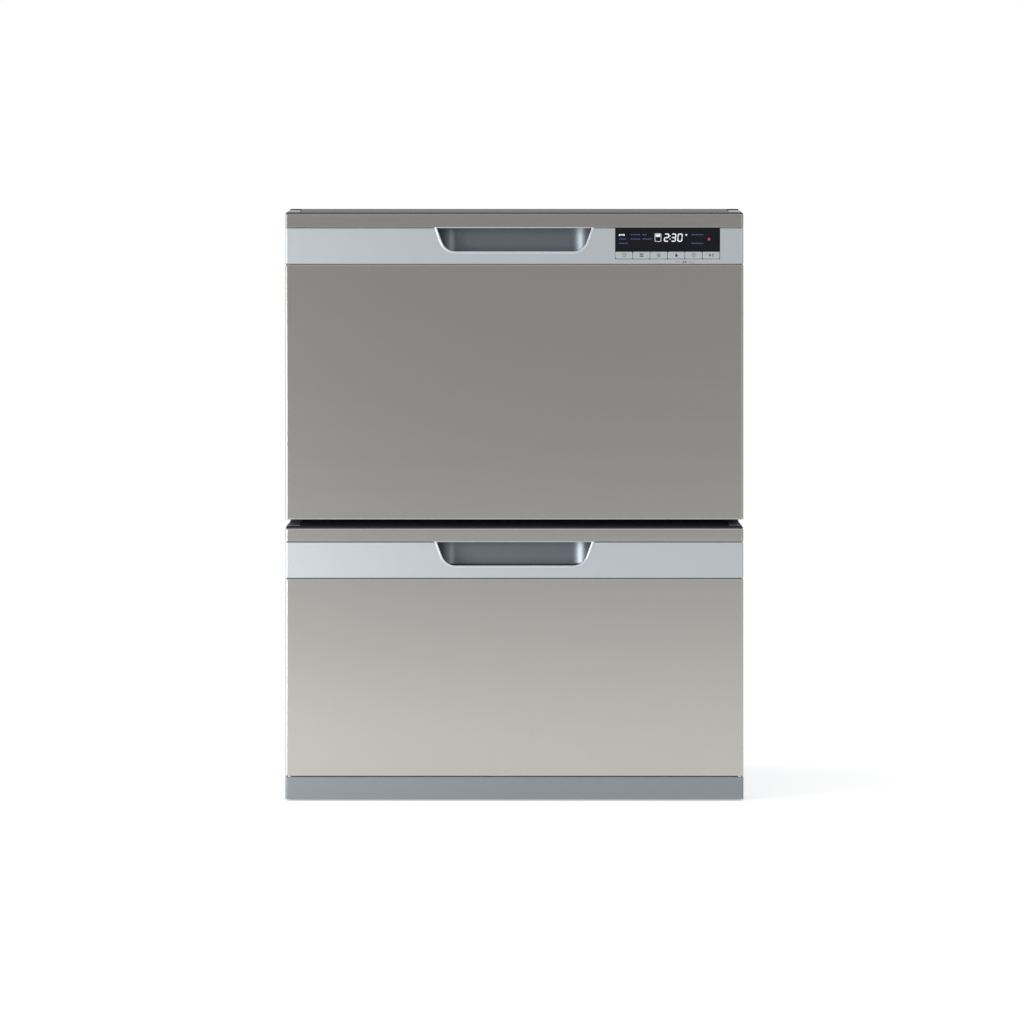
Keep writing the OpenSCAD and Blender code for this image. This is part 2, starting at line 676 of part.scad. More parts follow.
// Drip tray with a rear wall that carries the water and power connections
module base_tray() color("#8c9094") {
    tray_top = tray_z + sheet_t;
    difference() {
        union() {
            box([-chassis_in, chassis_y0 + 2.1, tray_z], [chassis_in, back_y - 2 * sheet_t, tray_top]);
            box([-chassis_in, chassis_y0 + 2.1, tray_z], [chassis_in, chassis_y0 + 3.1, tray_z + 15]);
        }
        both_sides() for (y = foot_ys) translate([foot_x, y, 0]) cylinder(r = foot_stem_r + fit, h = 60);
    }
    // threaded bosses for the feet
    both_sides() for (y = foot_ys) translate([foot_x, y, tray_top + hair]) difference() {
        cylinder(r = 12, h = 21);
        translate([0, 0, -1]) cylinder(r = foot_stem_r + fit, h = 23);
    }
    difference() {
        box([-chassis_in, fittings_y, tray_top + hair], [chassis_in, fittings_y + 2, chassis_z0 + 100]);
        translate([-200, 0, 70]) rod_y(fittings_y - 1, fittings_y + 3, 14);
        translate([-140, 0, 70]) rod_y(fittings_y - 1, fittings_y + 3, 9);
        translate([200, 0, 60]) rod_y(fittings_y - 1, fittings_y + 3, 9);
    }
}

// Cover sheet with two tabs for the screws into the worktop
module top_panel() color("#b3b7ba") difference() {
    union() {
        box([-chassis_w / 2, chassis_y0, unit_h - sheet_t], [chassis_w / 2, back_y, unit_h]);
        box([-chassis_in + 4, chassis_y0, unit_h - 9.5], [chassis_in - 4, chassis_y0 + sheet_t, unit_h]);
        both_sides() box([244, chassis_y0 + 0.5, unit_h - 3.4], [282, chassis_y0 + 38, unit_h]);
    }
    both_sides() translate([270, chassis_y0 + 20, unit_h - 10]) cylinder(r = 2.6, h = 20);
}

// Two channels across the chassis that carry the lower lid's lifters
module cross_rails() color("#8c9094") for (y = stem_ys) difference() {
    box([-chassis_in, y - 20, rail_beam_z], [chassis_in, y + 20, rail_beam_z + 14]);
    box([-chassis_in - 1, y - 18.8, rail_beam_z + 1.2], [chassis_in + 1, y + 18.8, rail_beam_z + 15]);
}

module kick_strip() color("#949a9d") {
    folded_skin(floor_gap, kick_h - seam, true, true);
    both_sides() box([180, face_y + 0.5, tray_z + 2], [182, chassis_y0 + 2.1, tray_z + 14]);
}

// 3/4 inch threaded spigot of the inlet valve
module inlet_valve() color("#e6e7e3") translate([-200, 0, 70]) {
    rod_y(fittings_y - 14, fittings_y + 3, 13.9);
    rod_y(fittings_y + 2, fittings_y + 8, 18);
    difference() {
        rod_y(fittings_y + 8, fittings_y + 26, 13.2);
        rod_y(fittings_y + 12, fittings_y + 27, 9);
    }
    box([-16, fittings_y - 30, -16], [16, fittings_y - 10, 24]);
}

module drain_outlet() color("#2c2e30") translate([-140, 0, 70]) difference() {
    union() {
        rod_y(fittings_y - 12, fittings_y + 2.5, 8.9);
        rod_y(fittings_y + 2, fittings_y + 6, 14);
        rod_y(fittings_y + 6, fittings_y + 40, 9.5);
    }
    rod_y(fittings_y - 13, fittings_y + 41, 7);
}

module cord_gland() color("#202122") translate([200, 0, 60]) difference() {
    union() {
        rod_y(fittings_y - 4, fittings_y + 3, 8.9);
        rod_y(fittings_y + 2, fittings_y + 6, 13);
        translate([0, fittings_y + 6, 0]) rotate([-90, 0, 0]) cylinder(r1 = 9, r2 = 6.5, h = 14);
        rod_y(fittings_y - 8, fittings_y - 4, 12);
    }
    rod_y(fittings_y - 9, fittings_y + 21, 4.2);
}

// Levelling foot, wound right in
module foot(sx, y) color("#2b2d2f") translate([sx * foot_x, y, 0]) {
    cylinder(r1 = 17, r2 = 18, h = 3);
    translate([0, 0, 3]) cylinder(r1 = 18, r2 = 11, h = 4);
    translate([0, 0, 7]) cylinder(r = 9.5, h = 5.5, $fn = 6);
    cylinder(r = foot_stem_r, h = foot_stem_top);
}

// ---------- one line per node ----------

side_panels();
back_panel();
base_tray();
top_panel();
cross_rails();
kick_strip();
outer_rails();
lid_lifters();
inlet_valve();
drain_outlet();
cord_gland();
foot(-1, foot_ys[0]);  // foot_front_left
foot(1, foot_ys[0]);  // foot_front_right
foot(-1, foot_ys[1]);  // foot_rear_left
foot(1, foot_ys[1]);  // foot_rear_right

front_panel(lower_z0, lower_panel_h);  // lower_front_panel
handle_strip(lower_handle_z);  // lower_handle_strip
handle_scoop(lower_handle_z);  // lower_handle_scoop
top_strip(lower_handle_z + handle_h);  // lower_top_strip
top_cap(lower_top_z);  // lower_top_cap
front_frame(lower_z0, lower_panel_h);  // lower_front_frame
level(0) tub();  // lower_tub
level(0) filter();  // lower_filter
level(0) wash_pump();  // lower_wash_pump
level(0) spray_arm();  // lower_spray_arm
level(0) rack();  // lower_rack
level(0) folding_tines();  // lower_folding_tines
level(0) cup_shelf();  // lower_cup_shelf
level(0) cutlery_basket();  // lower_cutlery_basket
level(0) dispenser();  // lower_dispenser
level(0) dispenser_flap();  // lower_dispenser_flap
level(0) inner_rails();  // lower_inner_rails
level(0) middle_rails();  // lower_middle_rails
level(0) lid();  // lower_lid

front_panel(upper_z0, upper_panel_h);  // upper_front_panel
handle_strip(upper_handle_z, true);  // upper_handle_strip
handle_scoop(upper_handle_z);  // upper_handle_scoop
top_strip(upper_handle_z + handle_h);  // upper_top_strip
top_cap(upper_top_z);  // upper_top_cap
front_frame(upper_z0, upper_panel_h, true);  // upper_front_frame
level(1) tub();  // upper_tub
level(1) filter();  // upper_filter
level(1) wash_pump();  // upper_wash_pump
level(1) spray_arm();  // upper_spray_arm
level(1) rack();  // upper_rack
level(1) folding_tines();  // upper_folding_tines
level(1) cup_shelf();  // upper_cup_shelf
level(1) cutlery_basket();  // upper_cutlery_basket
level(1) dispenser();  // upper_dispenser
level(1) dispenser_flap();  // upper_dispenser_flap
level(1) inner_rails();  // upper_inner_rails
level(1) middle_rails();  // upper_middle_rails
level(1) lid();  // upper_lid

display_window();
button(1);  // button_1
button(2);  // button_2
button(3);  // button_3
button(4);  // button_4
button(5);  // button_5
button(6);  // button_6
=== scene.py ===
"""Looks of a double dishwasher drawer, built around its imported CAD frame."""

import math

import bmesh
import bpy
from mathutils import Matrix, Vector


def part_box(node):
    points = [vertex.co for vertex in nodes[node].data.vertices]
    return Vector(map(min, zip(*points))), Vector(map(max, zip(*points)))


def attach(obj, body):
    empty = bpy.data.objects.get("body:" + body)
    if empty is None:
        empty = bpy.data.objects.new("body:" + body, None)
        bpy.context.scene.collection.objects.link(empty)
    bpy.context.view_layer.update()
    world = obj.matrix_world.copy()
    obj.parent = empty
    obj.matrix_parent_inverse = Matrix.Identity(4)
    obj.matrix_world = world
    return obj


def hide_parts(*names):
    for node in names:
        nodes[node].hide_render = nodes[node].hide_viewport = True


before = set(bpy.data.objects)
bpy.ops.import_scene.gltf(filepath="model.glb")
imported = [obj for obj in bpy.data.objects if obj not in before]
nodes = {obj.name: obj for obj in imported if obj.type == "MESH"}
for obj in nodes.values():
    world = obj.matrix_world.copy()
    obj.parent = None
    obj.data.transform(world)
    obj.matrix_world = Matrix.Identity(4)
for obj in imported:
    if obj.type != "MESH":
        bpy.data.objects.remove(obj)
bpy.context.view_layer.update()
scene = bpy.context.scene

# Every length is in metres, and MM turns millimetres into them.
MM = 0.001
LEVELS = ("lower", "upper")
# Height from the lower drawer to the upper one.
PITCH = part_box("upper_tub")[0].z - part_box("lower_tub")[0].z


# ---------- materials ----------

# Part of 0..1 that a noise texture mostly keeps to.
NOISE_LOW, NOISE_HIGH = 0.3, 0.7
FINE_RELIEF = 0.01 * MM


def srgb(r, g, b):
    """A colour given as 0..255 screen values, as linear RGBA."""

    def one(c):
        c /= 255
        return c / 12.92 if c <= 0.04045 else ((c + 0.055) / 1.055) ** 2.4

    return (one(r), one(g), one(b), 1.0)


def scaled(colour, k):
    return tuple(min(1.0, c * k) for c in colour[:3]) + (1.0,)


class Nodes:
    """A material's node tree, with its Principled shader as .shader."""

    def __init__(self, name):
        self.material = bpy.data.materials.new(name)
        self.material.use_nodes = True
        self.tree = self.material.node_tree
        self.shader = self.tree.nodes["Principled BSDF"]
        self.coords = self.add("ShaderNodeTexCoord").outputs["Object"]

    def add(self, kind, **values):
        node = self.tree.nodes.new(kind)
        for key, value in values.items():
            if key in node.inputs:
                node.inputs[key].default_value = value
            else:
                setattr(node, key, value)
        return node

    def link(self, a, b):
        self.tree.links.new(a, b)

    def set(self, **values):
        for key, value in values.items():
            self.shader.inputs[key.replace("_", " ")].default_value = value

    def noise(self, scale, detail=3.0, stretch=(1, 1, 1)):
        """Noise in 0..1 over the object's own metres, stretched per axis."""
        mapping = self.add("ShaderNodeMapping", Scale=stretch)
        self.link(self.coords, mapping.inputs["Vector"])
        noise = self.add("ShaderNodeTexNoise", Scale=scale, Detail=detail)
        self.link(mapping.outputs["Vector"], noise.inputs["Vector"])
        return noise.outputs["Fac"]

    def between(self, factor, low, high):
        """A colour that runs from low to high with factor."""
        ramp = self.add("ShaderNodeValToRGB")
        ramp.color_ramp.elements[0].position = NOISE_LOW
        ramp.color_ramp.elements[1].position = NOISE_HIGH
        ramp.color_ramp.elements[0].color = low
        ramp.color_ramp.elements[1].color = high
        self.link(factor, ramp.inputs["Fac"])
        return ramp.outputs["Color"]

    def tint(self, factor, colour, low, high):
        """Base colour that runs from low to high times a colour with factor."""
        ramp = self.between(factor, scaled(colour, low), scaled(colour, high))
        self.link(ramp, self.shader.inputs["Base Color"])

    def spread(self, factor, low, high):
        """A number that runs from low to high with factor."""
        span = self.add("ShaderNodeMapRange")
        span.inputs["From Min"].default_value = NOISE_LOW
        span.inputs["From Max"].default_value = NOISE_HIGH
        span.inputs["To Min"].default_value = low
        span.inputs["To Max"].default_value = high
        self.link(factor, span.inputs["Value"])
        return span.outputs["Result"]

    def roughen(self, factor, rough, swing):
        """Roughness that swings about a middle with factor."""
        self.link(self.spread(factor, rough - swing, rough + swing), self.shader.inputs["Roughness"])

    def bump(self, height, depth, strength):
        """Relief of the surface, at most depth deep."""
        bump = self.add("ShaderNodeBump", Strength=strength, Distance=depth)
        self.link(height, bump.inputs["Height"])
        self.link(bump.outputs["Normal"], self.shader.inputs["Normal"])


def brushed_metal(name, colour, rough=0.24, lines=1100, contrast=0.015, relief=0.008):
    """Metal brushed along X: fine long streaks in colour, roughness and relief."""
    n = Nodes(name)
    n.set(Metallic=1.0)
    streaks = n.noise(1.0, detail=4.0, stretch=(2.5, 14, lines))
    n.tint(streaks, colour, 1 - contrast, 1 + contrast)
    n.roughen(streaks, rough, 0.012)
    n.bump(streaks, FINE_RELIEF, relief)
    return n.material


def satin(name, colour, rough=0.42, metallic=0.35, grain=2600, contrast=0.02):
    """Metallic paint or anodised metal: even, with a very fine grain."""
    n = Nodes(name)
    n.set(Metallic=metallic)
    fine = n.noise(grain, 2.0)
    n.tint(fine, colour, 1 - contrast, 1 + contrast)
    n.roughen(fine, rough, 0.03)
    n.bump(fine, FINE_RELIEF, 0.15)
    return n.material


def moulded(name, colour, rough=0.5, grain=900, depth=0.04 * MM, contrast=0.05, specular=0.5):
    """Moulded plastic: spark-eroded grain and a faint drift of colour."""
    n = Nodes(name)
    n.shader.inputs["Specular IOR Level"].default_value = specular
    drift = n.noise(9.0, 2.0)
    fine = n.noise(grain, 3.0)
    n.tint(drift, colour, 1 - contrast, 1 + contrast)
    n.roughen(fine, rough, 0.06)
    n.bump(fine, depth, 0.4)
    return n.material


def galvanised(name, colour, rough=0.42):
    """Zinc coated sheet: spangle cells of slightly different grey."""
    n = Nodes(name)
    n.set(Metallic=0.85)
    cells = n.add("ShaderNodeTexVoronoi", Scale=110.0)
    n.link(n.coords, cells.inputs["Vector"])
    grey = n.add("ShaderNodeRGBToBW")
    n.link(cells.outputs["Color"], grey.inputs["Color"])
    n.tint(grey.outputs["Val"], colour, 0.94, 1.05)
    n.roughen(grey.outputs["Val"], rough, 0.08)
    n.bump(n.noise(60.0, 3.0), 0.06 * MM, 0.2)
    return n.material


def lit(name, colour, strength):
    """Backlit mark of the display, very slightly uneven."""
    n = Nodes(name)
    n.set(Roughness=0.4)
    glow = n.between(n.noise(700.0, 2.0), scaled(colour, 0.9), scaled(colour, 1.0))
    n.link(glow, n.shader.inputs["Emission Color"])
    n.shader.inputs["Base Color"].default_value = (0.02, 0.02, 0.03, 1)
    n.shader.inputs["Emission Strength"].default_value = strength
    return n.material


STEEL = brushed_metal("brushed steel", srgb(188, 186, 181))
SILVER = satin("satin silver", srgb(188, 194, 198), rough=0.41, metallic=0.8)
RIM = satin("silver rim", srgb(204, 208, 219), rough=0.28, metallic=0.85)
CAP = moulded("dark cap", srgb(46, 47, 57), rough=0.4, specular=0.32)
CAP_TRIM = satin("cap trim", srgb(150, 152, 158), rough=0.35, metallic=0.6)
GASKET = moulded("lid gasket", srgb(70, 73, 76), rough=0.6)
FRAME = moulded("dark frame", srgb(58, 59, 61), rough=0.55)
TUB = moulded("tub plastic", srgb(214, 218, 219), rough=0.38, depth=0.02 * MM, contrast=0.02)
FILTER = brushed_metal("filter steel", srgb(196, 198, 200), rough=0.3, lines=500)
PUMP = moulded("pump plastic", srgb(66, 68, 71), rough=0.5)
ARM = moulded("arm plastic", srgb(146, 152, 156), rough=0.35)
WIRE = moulded("coated wire", srgb(150, 154, 158), rough=0.3, grain=300)
TINES = moulded("coated tines", srgb(112, 118, 124), rough=0.3, grain=300)
BASKET = moulded("basket plastic", srgb(120, 127, 132), rough=0.42)
DISPENSER = moulded("dispenser plastic", srgb(186, 192, 196), rough=0.28)
SLIDE = brushed_metal("zinc plated steel", srgb(190, 193, 196), rough=0.3, lines=300, contrast=0.03)
LID = moulded("lid plastic", srgb(206, 210, 212), rough=0.42, contrast=0.02)
CHASSIS = galvanised("galvanised sheet", srgb(176, 180, 183))
KICK = satin("kick silver", srgb(134, 140, 144), rough=0.42, metallic=0.6)
VALVE = moulded("valve plastic", srgb(230, 231, 226), rough=0.4)
BLACK = moulded("black plastic", srgb(34, 35, 37), rough=0.45)
GLASS = moulded("display window", srgb(14, 16, 20), rough=0.12, depth=0.0, specular=0.25, contrast=0.1)
BUTTON = satin("button silver", srgb(192, 198, 200), rough=0.36, metallic=0.7)
# The finger cup's silver is far darker than the strip's: painted shade of the recess.
SHADED_SCOOP = satin("scoop silver with painted shade", srgb(103, 109, 114), rough=0.4, metallic=0.85)
PRINT = moulded("printed mark", srgb(50, 54, 58), rough=0.5, depth=0.0)
LIT_WHITE = lit("display white", srgb(238, 242, 255), 1.0)
LIT_BLUE = lit("display blue", srgb(46, 58, 114), 1.0)
LIT_RED = lit("display red", srgb(196, 20, 46), 1.0)

DRAWER_FINISHES = {
    "front_panel": STEEL,
    "handle_strip": SILVER,
    "handle_scoop": RIM,
    "top_strip": STEEL,
    "top_cap": CAP,
    "front_frame": FRAME,
    "tub": TUB,
    "filter": FILTER,
    "wash_pump": PUMP,
    "spray_arm": ARM,
    "rack": WIRE,
    "folding_tines": TINES,
    "cup_shelf": BASKET,
    "cutlery_basket": BASKET,
    "dispenser": DISPENSER,
    "dispenser_flap": DISPENSER,
    "inner_rails": SLIDE,
    "middle_rails": SLIDE,
    "lid": LID,
}
OTHER_FINISHES = {
    "side_panels": CHASSIS,
    "back_panel": CHASSIS,
    "base_tray": CHASSIS,
    "top_panel": CHASSIS,
    "cross_rails": CHASSIS,
    "kick_strip": KICK,
    "outer_rails": SLIDE,
    "lid_lifters": BLACK,
    "inlet_valve": VALVE,
    "drain_outlet": BLACK,
    "cord_gland": BLACK,
    "display_window": GLASS,
}


def finish_nodes():
    """Gives every CAD node its procedural material."""
    finishes = dict(OTHER_FINISHES)
    for level in LEVELS:
        finishes.update({f"{level}_{part}": look for part, look in DRAWER_FINISHES.items()})
    for name in nodes:
        if name.startswith("button"):
            finishes[name] = BUTTON
        if name.startswith("foot"):
            finishes[name] = BLACK
    for name, node in nodes.items():
        node.data.materials.clear()
        node.data.materials.append(finishes[name])


# ---------- mesh helpers ----------

# Depth of the front's face.
FACE_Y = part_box("upper_front_panel")[0].y
# Angle from which an edge stays crisp.
SHARP = math.radians(32)


def add_piece(name, bm, material, body, sharp=SHARP, wall=0.0):
    """Turns a bmesh into a piece that rides on a body; edges steeper than sharp stay crisp."""
    bmesh.ops.recalc_face_normals(bm, faces=bm.faces)
    for face in bm.faces:
        face.smooth = True
    for edge in bm.edges:
        edge.smooth = len(edge.link_faces) == 2 and edge.calc_face_angle() < sharp
    mesh = bpy.data.meshes.new(name)
    bm.to_mesh(mesh)
    bm.free()
    mesh.materials.append(material)
    piece = bpy.data.objects.new(name, mesh)
    scene.collection.objects.link(piece)
    if wall:
        shell = piece.modifiers.new("wall", "SOLIDIFY")
        shell.thickness = wall
        shell.offset = 1
    flat = piece.modifiers.new("flat faces stay flat", "WEIGHTED_NORMAL")
    flat.keep_sharp = True
    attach(piece, body)
    return piece


def add_grid(bm, rows, closed=False, caps=False, ring=False):
    """Skins rows of points.

    closed joins each row's ends, ring joins the last row to the first, and caps fill both ends.
    """
    grid = [[bm.verts.new(p) for p in row] for row in rows]
    n = len(grid[0])
    if ring:
        grid.append(grid[0])
    for a, b in zip(grid, grid[1:]):
        for i in range(n if closed else n - 1):
            j = (i + 1) % n
            bm.faces.new((a[i], a[j], b[j], b[i]))
    if caps:
        bm.faces.new(grid[0])
        bm.faces.new(list(reversed(grid[-1])))


def add_plate(bm, outline, y0, y1):
    """Prism of an XZ outline between two depths."""
    add_grid(bm, [[(x, y, z) for x, z in outline] for y in (y0, y1)], closed=True, caps=True)


def add_lathe(bm, profile, place, axis, n=24, ring=False, flute=0.0):
    """Turns (radius, height) points round an axis; flute makes the last two rings cross-shaped."""
    base, up = Vector(place), Vector(axis)
    across = up.orthogonal().normalized()
    side = up.cross(across)
    turns = [math.tau * i / n for i in range(n)]
    rays = [(across * math.cos(a) + side * math.sin(a), math.cos(4 * a)) for a in turns]
    rows = []
    for k, (r, h) in enumerate(profile):
        swell = flute if k >= len(profile) - 2 else 0.0
        rows.append([base + up * h + ray * r * (1 + swell * wave) for ray, wave in rays])
    add_grid(bm, rows, closed=True, caps=not ring, ring=ring)


def corner_centres(x0, y0, x1, y1, r):
    """Centres of a rectangle's rounded corners, each with the angle at which its arc starts."""
    return (x1 - r, y0 + r, -90), (x1 - r, y1 - r, 0), (x0 + r, y1 - r, 90), (x0 + r, y0 + r, 180)


def add_ring_sweep(bm, corners, r, section):
    """Closed sweep of an (inset, height) section round a rectangle with round corners, in plan."""
    rows = []
    for cx, cy, a0 in corner_centres(*corners, r):
        for i in range(11):
            a = math.radians(a0 + 9 * i)
            rows.append([(cx + (r - o) * math.cos(a), cy + (r - o) * math.sin(a), z) for o, z in section])
    add_grid(bm, rows, closed=True, ring=True)


def arc(cx, cz, r, a0, a1, n):
    """n + 1 points on an arc, angles in degrees."""
    angles = [math.radians(a0 + (a1 - a0) * i / n) for i in range(n + 1)]
    return [(cx + r * math.cos(a), cz + r * math.sin(a)) for a in angles]


def round_rect(x0, z0, x1, z1, r, n=6):
    return [p for cx, cz, a in corner_centres(x0, z0, x1, z1, r) for p in arc(cx, cz, r, a, a + 90, n)]


def circle(cx, cz, r, n=24):
    return arc(cx, cz, r, 0, 360, n)[:-1]


def box_outline(x0, z0, x1, z1):
    return [(x0, z0), (x1, z0), (x1, z1), (x0, z1)]


# ---------- folded sheet of the fronts ----------

HALF_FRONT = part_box("upper_front_panel")[1].x
SKIN_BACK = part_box("upper_front_panel")[1].y
DOOR_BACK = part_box("upper_front_frame")[1].y
SHEET = 1 * MM
# Radius of the upright folds at the sides, and of the rolled upper and lower edges.
FOLD_R = 3 * MM
ROLL = 1.2 * MM
FINE_ROLL = 0.6 * MM
STRIP_ROLL = {"lower": 2.2 * MM, "upper": FINE_ROLL}


def skin_section(z0, z1, low, high):
    """Closed section of a sheet, (distance inwards, height), its lower and upper edge rolled in."""

    def inside(z, r, a0, a1):
        return arc(r, z, r - SHEET, a0, a1, 3) if r > SHEET else [(SHEET, z + (r if a0 == 90 else -r))]

    outside = arc(low, z0 + low, low, 270, 180, 6) + arc(high, z1 - high, high, 180, 90, 6)
    return outside + inside(z1 - high, high, 90, 180) + inside(z0 + low, low, 180, 270)


def add_skin(level, part, material, low=ROLL, high=ROLL, notches=(), body=None):
    """Sheet folded round a front, in place of the CAD skin.

    notches are (x, height) points of its top edge.
    """
    node = f"{level}_{part}" if level else part
    z0, z1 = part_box(node)[0].z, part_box(node)[1].z
    cx, cy = HALF_FRONT - FOLD_R, FACE_Y + FOLD_R
    turn = [(math.sin(math.radians(a)), math.cos(math.radians(a))) for a in range(0, 91, 10)]
    right = [(cx + FOLD_R * s, cy - FOLD_R * c, s, -c, z1) for s, c in turn]
    right.append((HALF_FRONT, SKIN_BACK, 1, 0, z1))
    left = [(-x, y, -nx, ny, z) for x, y, nx, ny, z in reversed(right)]
    stations = left + [(x, FACE_Y, 0, -1, z) for x, z in notches] + right
    rows = []
    for x, y, nx, ny, z in stations:
        rows.append([(x - nx * d, y - ny * d, h) for d, h in skin_section(z0, z, low, high)])
    bm = bmesh.new()
    add_grid(bm, rows, closed=True, caps=True)
    skin = add_piece(f"{node}_skin", bm, material, body or f"{level}_drawer")
    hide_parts(node)


def strip_notches(level):
    """Top edge of a handle strip: let in for the scoop and, on the upper front, for the controls."""
    z_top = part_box(f"{level}_handle_strip")[1].z
    z_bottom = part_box(f"{level}_top_strip")[0].z - SCOOP_H
    points = []
    for x, h, nx, nh in rim_stations():
        points.append((x + nx * RIM_SEAT, min(z_top, z_bottom + h + nh * RIM_SEAT)))
    if level == "upper":
        x0, x1 = WINDOW_LEFT - WINDOW_GAP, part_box("button_6")[1].x + WINDOW_MARGIN + WINDOW_GAP
        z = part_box("button_1")[0].z - 0.5 * MM
        points += [(x0, z_top), (x0 + WINDOW_GAP / 2, z), (x1 - WINDOW_GAP / 2, z), (x1, z_top)]
    return points


def add_fronts():
    """The folded sheets of both drawers, and the kick strip."""
    for level in LEVELS:
        add_skin(level, "front_panel", STEEL)
        notches = strip_notches(level)
        add_skin(level, "handle_strip", SILVER, FINE_ROLL, FINE_ROLL, notches)
        add_skin(level, "top_strip", STEEL, FINE_ROLL, STRIP_ROLL[level])
    add_skin("", "kick_strip", KICK, body="chassis")


# Length of an end piece, the seam beside it, and how far its end leans inwards per unit of height.
CAP_END = 20 * MM
CAP_SEAM = 0.3 * MM
CAP_SLANT = 0.4
# Section of the cap: nose behind the face, upright edge, step up to the slope, level ledge at the back.
CAP_NOSE = 0.7 * MM
CAP_EDGE = 0.8 * MM
CAP_STEP = (4.6 * MM, 3.0 * MM)
CAP_LEDGE = 3 * MM
# How far the end pieces' slope stays below the cap's top, and the softening of every edge.
CAP_RIDGE = 1.6 * MM
CAP_SOFT = 0.35 * MM
# Trim plate: half its thickness, its margins at the inner and outer end, and its own softening.
TRIM_RISE = 0.35 * MM
TRIM_INNER = 1.5 * MM
TRIM_OUTER = 3 * MM
TRIM_SOFT = 0.12 * MM


def add_bar(name, section, ends, material, level, edge):
    """Bar of a (depth, height) section between two leaning ends, each (x, lean), its edges softened."""
    low = min(z for y, z in section)
    rows = [[(x + lean * (z - low), y, z) for y, z in section] for x, lean in ends]
    bm = bmesh.new()
    add_grid(bm, rows, closed=True, caps=True)
    bmesh.ops.recalc_face_normals(bm, faces=bm.faces)
    bmesh.ops.bevel(bm, geom=bm.edges[:], offset=edge, segments=3, profile=0.5, affect="EDGES")
    return add_piece(f"{level}_{name}", bm, material, f"{level}_drawer")


def add_cap(level):
    """Sloping cap of a front, and its two slanted end pieces with a bright trim on each."""
    node = f"{level}_top_cap"
    z0, z1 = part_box(node)[0].z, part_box(node)[1].z
    front, back = FACE_Y + CAP_NOSE, DOOR_BACK - CAP_LEDGE
    nose = (front + CAP_STEP[0], z0 + CAP_STEP[1])
    under = [(DOOR_BACK, z0), (DOOR_BACK, z1), (back, z1)]
    slope = [nose, (front, z0 + CAP_EDGE), (front, z0)]
    brow = (back, z1 - CAP_RIDGE)
    along = [(nose[0] + (brow[0] - nose[0]) * t, nose[1] + (brow[1] - nose[1]) * t) for t in (0.08, 0.85)]
    trim = [(y, z - TRIM_RISE) for y, z in along] + [(y, z + TRIM_RISE) for y, z in reversed(along)]
    inner, outer = HALF_FRONT - CAP_END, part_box(node)[1].x
    ends = [(-inner, 0.0), (inner, 0.0)]
    middle = add_bar("cap_middle", under + slope, ends, CAP, level, CAP_SOFT)
    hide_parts(node)
    for side, name in ((-1, "left"), (1, "right")):
        ends = [(side * (inner + CAP_SEAM), 0.0), (side * outer, -side * CAP_SLANT)]
        end = add_bar(f"cap_{name}", under + [brow] + slope, ends, CAP, level, CAP_SOFT)
        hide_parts(node)
        ends = [(side * (inner + TRIM_INNER), 0.0), (side * (outer - TRIM_OUTER), -side * CAP_SLANT)]
        add_bar(f"cap_trim_{name}", trim, ends, CAP_TRIM, level, TRIM_SOFT)


# ---------- handle scoops ----------

# Outline in the face: half its width at the top, height, lean of the sides, radius of the lower corners.
SCOOP_HALF = 101 * MM
SCOOP_H = 31 * MM
SCOOP_LEAN = math.radians(20)
SCOOP_R = 19 * MM
# Cup behind it: depth, front edge, round ends in plan, fillet at the floor, rise behind the top strip.
CUP_D = 28.8 * MM
CUP_FRONT = 2 * MM
CUP_END_R = 26 * MM
CUP_FILLET = 3.5 * MM
CUP_RISE = 4.5 * MM
CUP_WALL = 1.2 * MM
# Rim: how far it stands before the face and reaches behind it, its seat in the strip, and its two roundings.
RIM_PROUD = 1 * MM
RIM_RETURN = 2.4 * MM
RIM_SEAT = 2 * MM
RIM_CREST = 2.2 * MM
RIM_INNER_R = 1.7 * MM
RIM_OUTER_R = 0.8 * MM
# Radius of the lip over the mouth.
LIP_R = 0.7 * MM
# Filled by add_scoop with the pieces that the scoop lamps light.
scoops = []
# Middle of the right lower corner's arc.
CORNER_X = SCOOP_HALF - (SCOOP_H - SCOOP_R) * math.tan(SCOOP_LEAN) - SCOOP_R / math.cos(SCOOP_LEAN)


def cup_slice(h, z_bottom):
    """Level cut of the cup, the same at every height over its floor's fillet: end, back and end."""
    depth = CUP_D
    if h < CUP_FILLET:
        depth -= CUP_FILLET - math.sqrt(CUP_FILLET**2 - (CUP_FILLET - h) ** 2)
    r = min(CUP_END_R, depth - CUP_FRONT - 0.3 * MM)
    side = [(SCOOP_HALF, CUP_FRONT + (depth - r - CUP_FRONT) * i / 3) for i in range(3)]
    turn = arc(SCOOP_HALF - r, depth - r, r, 0, 90, 14)
    right = side + turn
    middle = [((SCOOP_HALF - r) * (1 - i / 5), depth) for i in range(1, 5)]
    left = [(-x, y) for x, y in reversed(right)]
    path = right + middle + [(-x, y) for x, y in reversed(middle)] + left
    return [(x, FACE_Y + y, z_bottom + h) for x, y in path]


def rim_profile():
    """Closed section of the rim: (distance outwards, distance in front of the face)."""
    inner = arc(RIM_INNER_R, RIM_PROUD - RIM_INNER_R, RIM_INNER_R, 180, 90, 8)
    outer = arc(RIM_CREST, RIM_PROUD - RIM_OUTER_R, RIM_OUTER_R, 90, 0, 6)
    return [(0, -RIM_RETURN), *inner, *outer, (RIM_SEAT, 0), (RIM_SEAT, -RIM_RETURN)]


def rim_stations():
    """Points of the scoop's edge with outward directions, from the left top round to the right top."""
    lean = math.degrees(SCOOP_LEAN)
    top = (SCOOP_HALF, SCOOP_H, 1 / math.cos(SCOOP_LEAN), 0.0)
    right = [
        (CORNER_X + SCOOP_R * math.cos(a), SCOOP_R + SCOOP_R * math.sin(a), math.cos(a), math.sin(a))
        for a in (math.radians(-90 + (90 - lean) * i / 16) for i in range(17))
    ]
    right.append(top)
    return [(-x, h, -nx, nh) for x, h, nx, nh in reversed(right)] + right


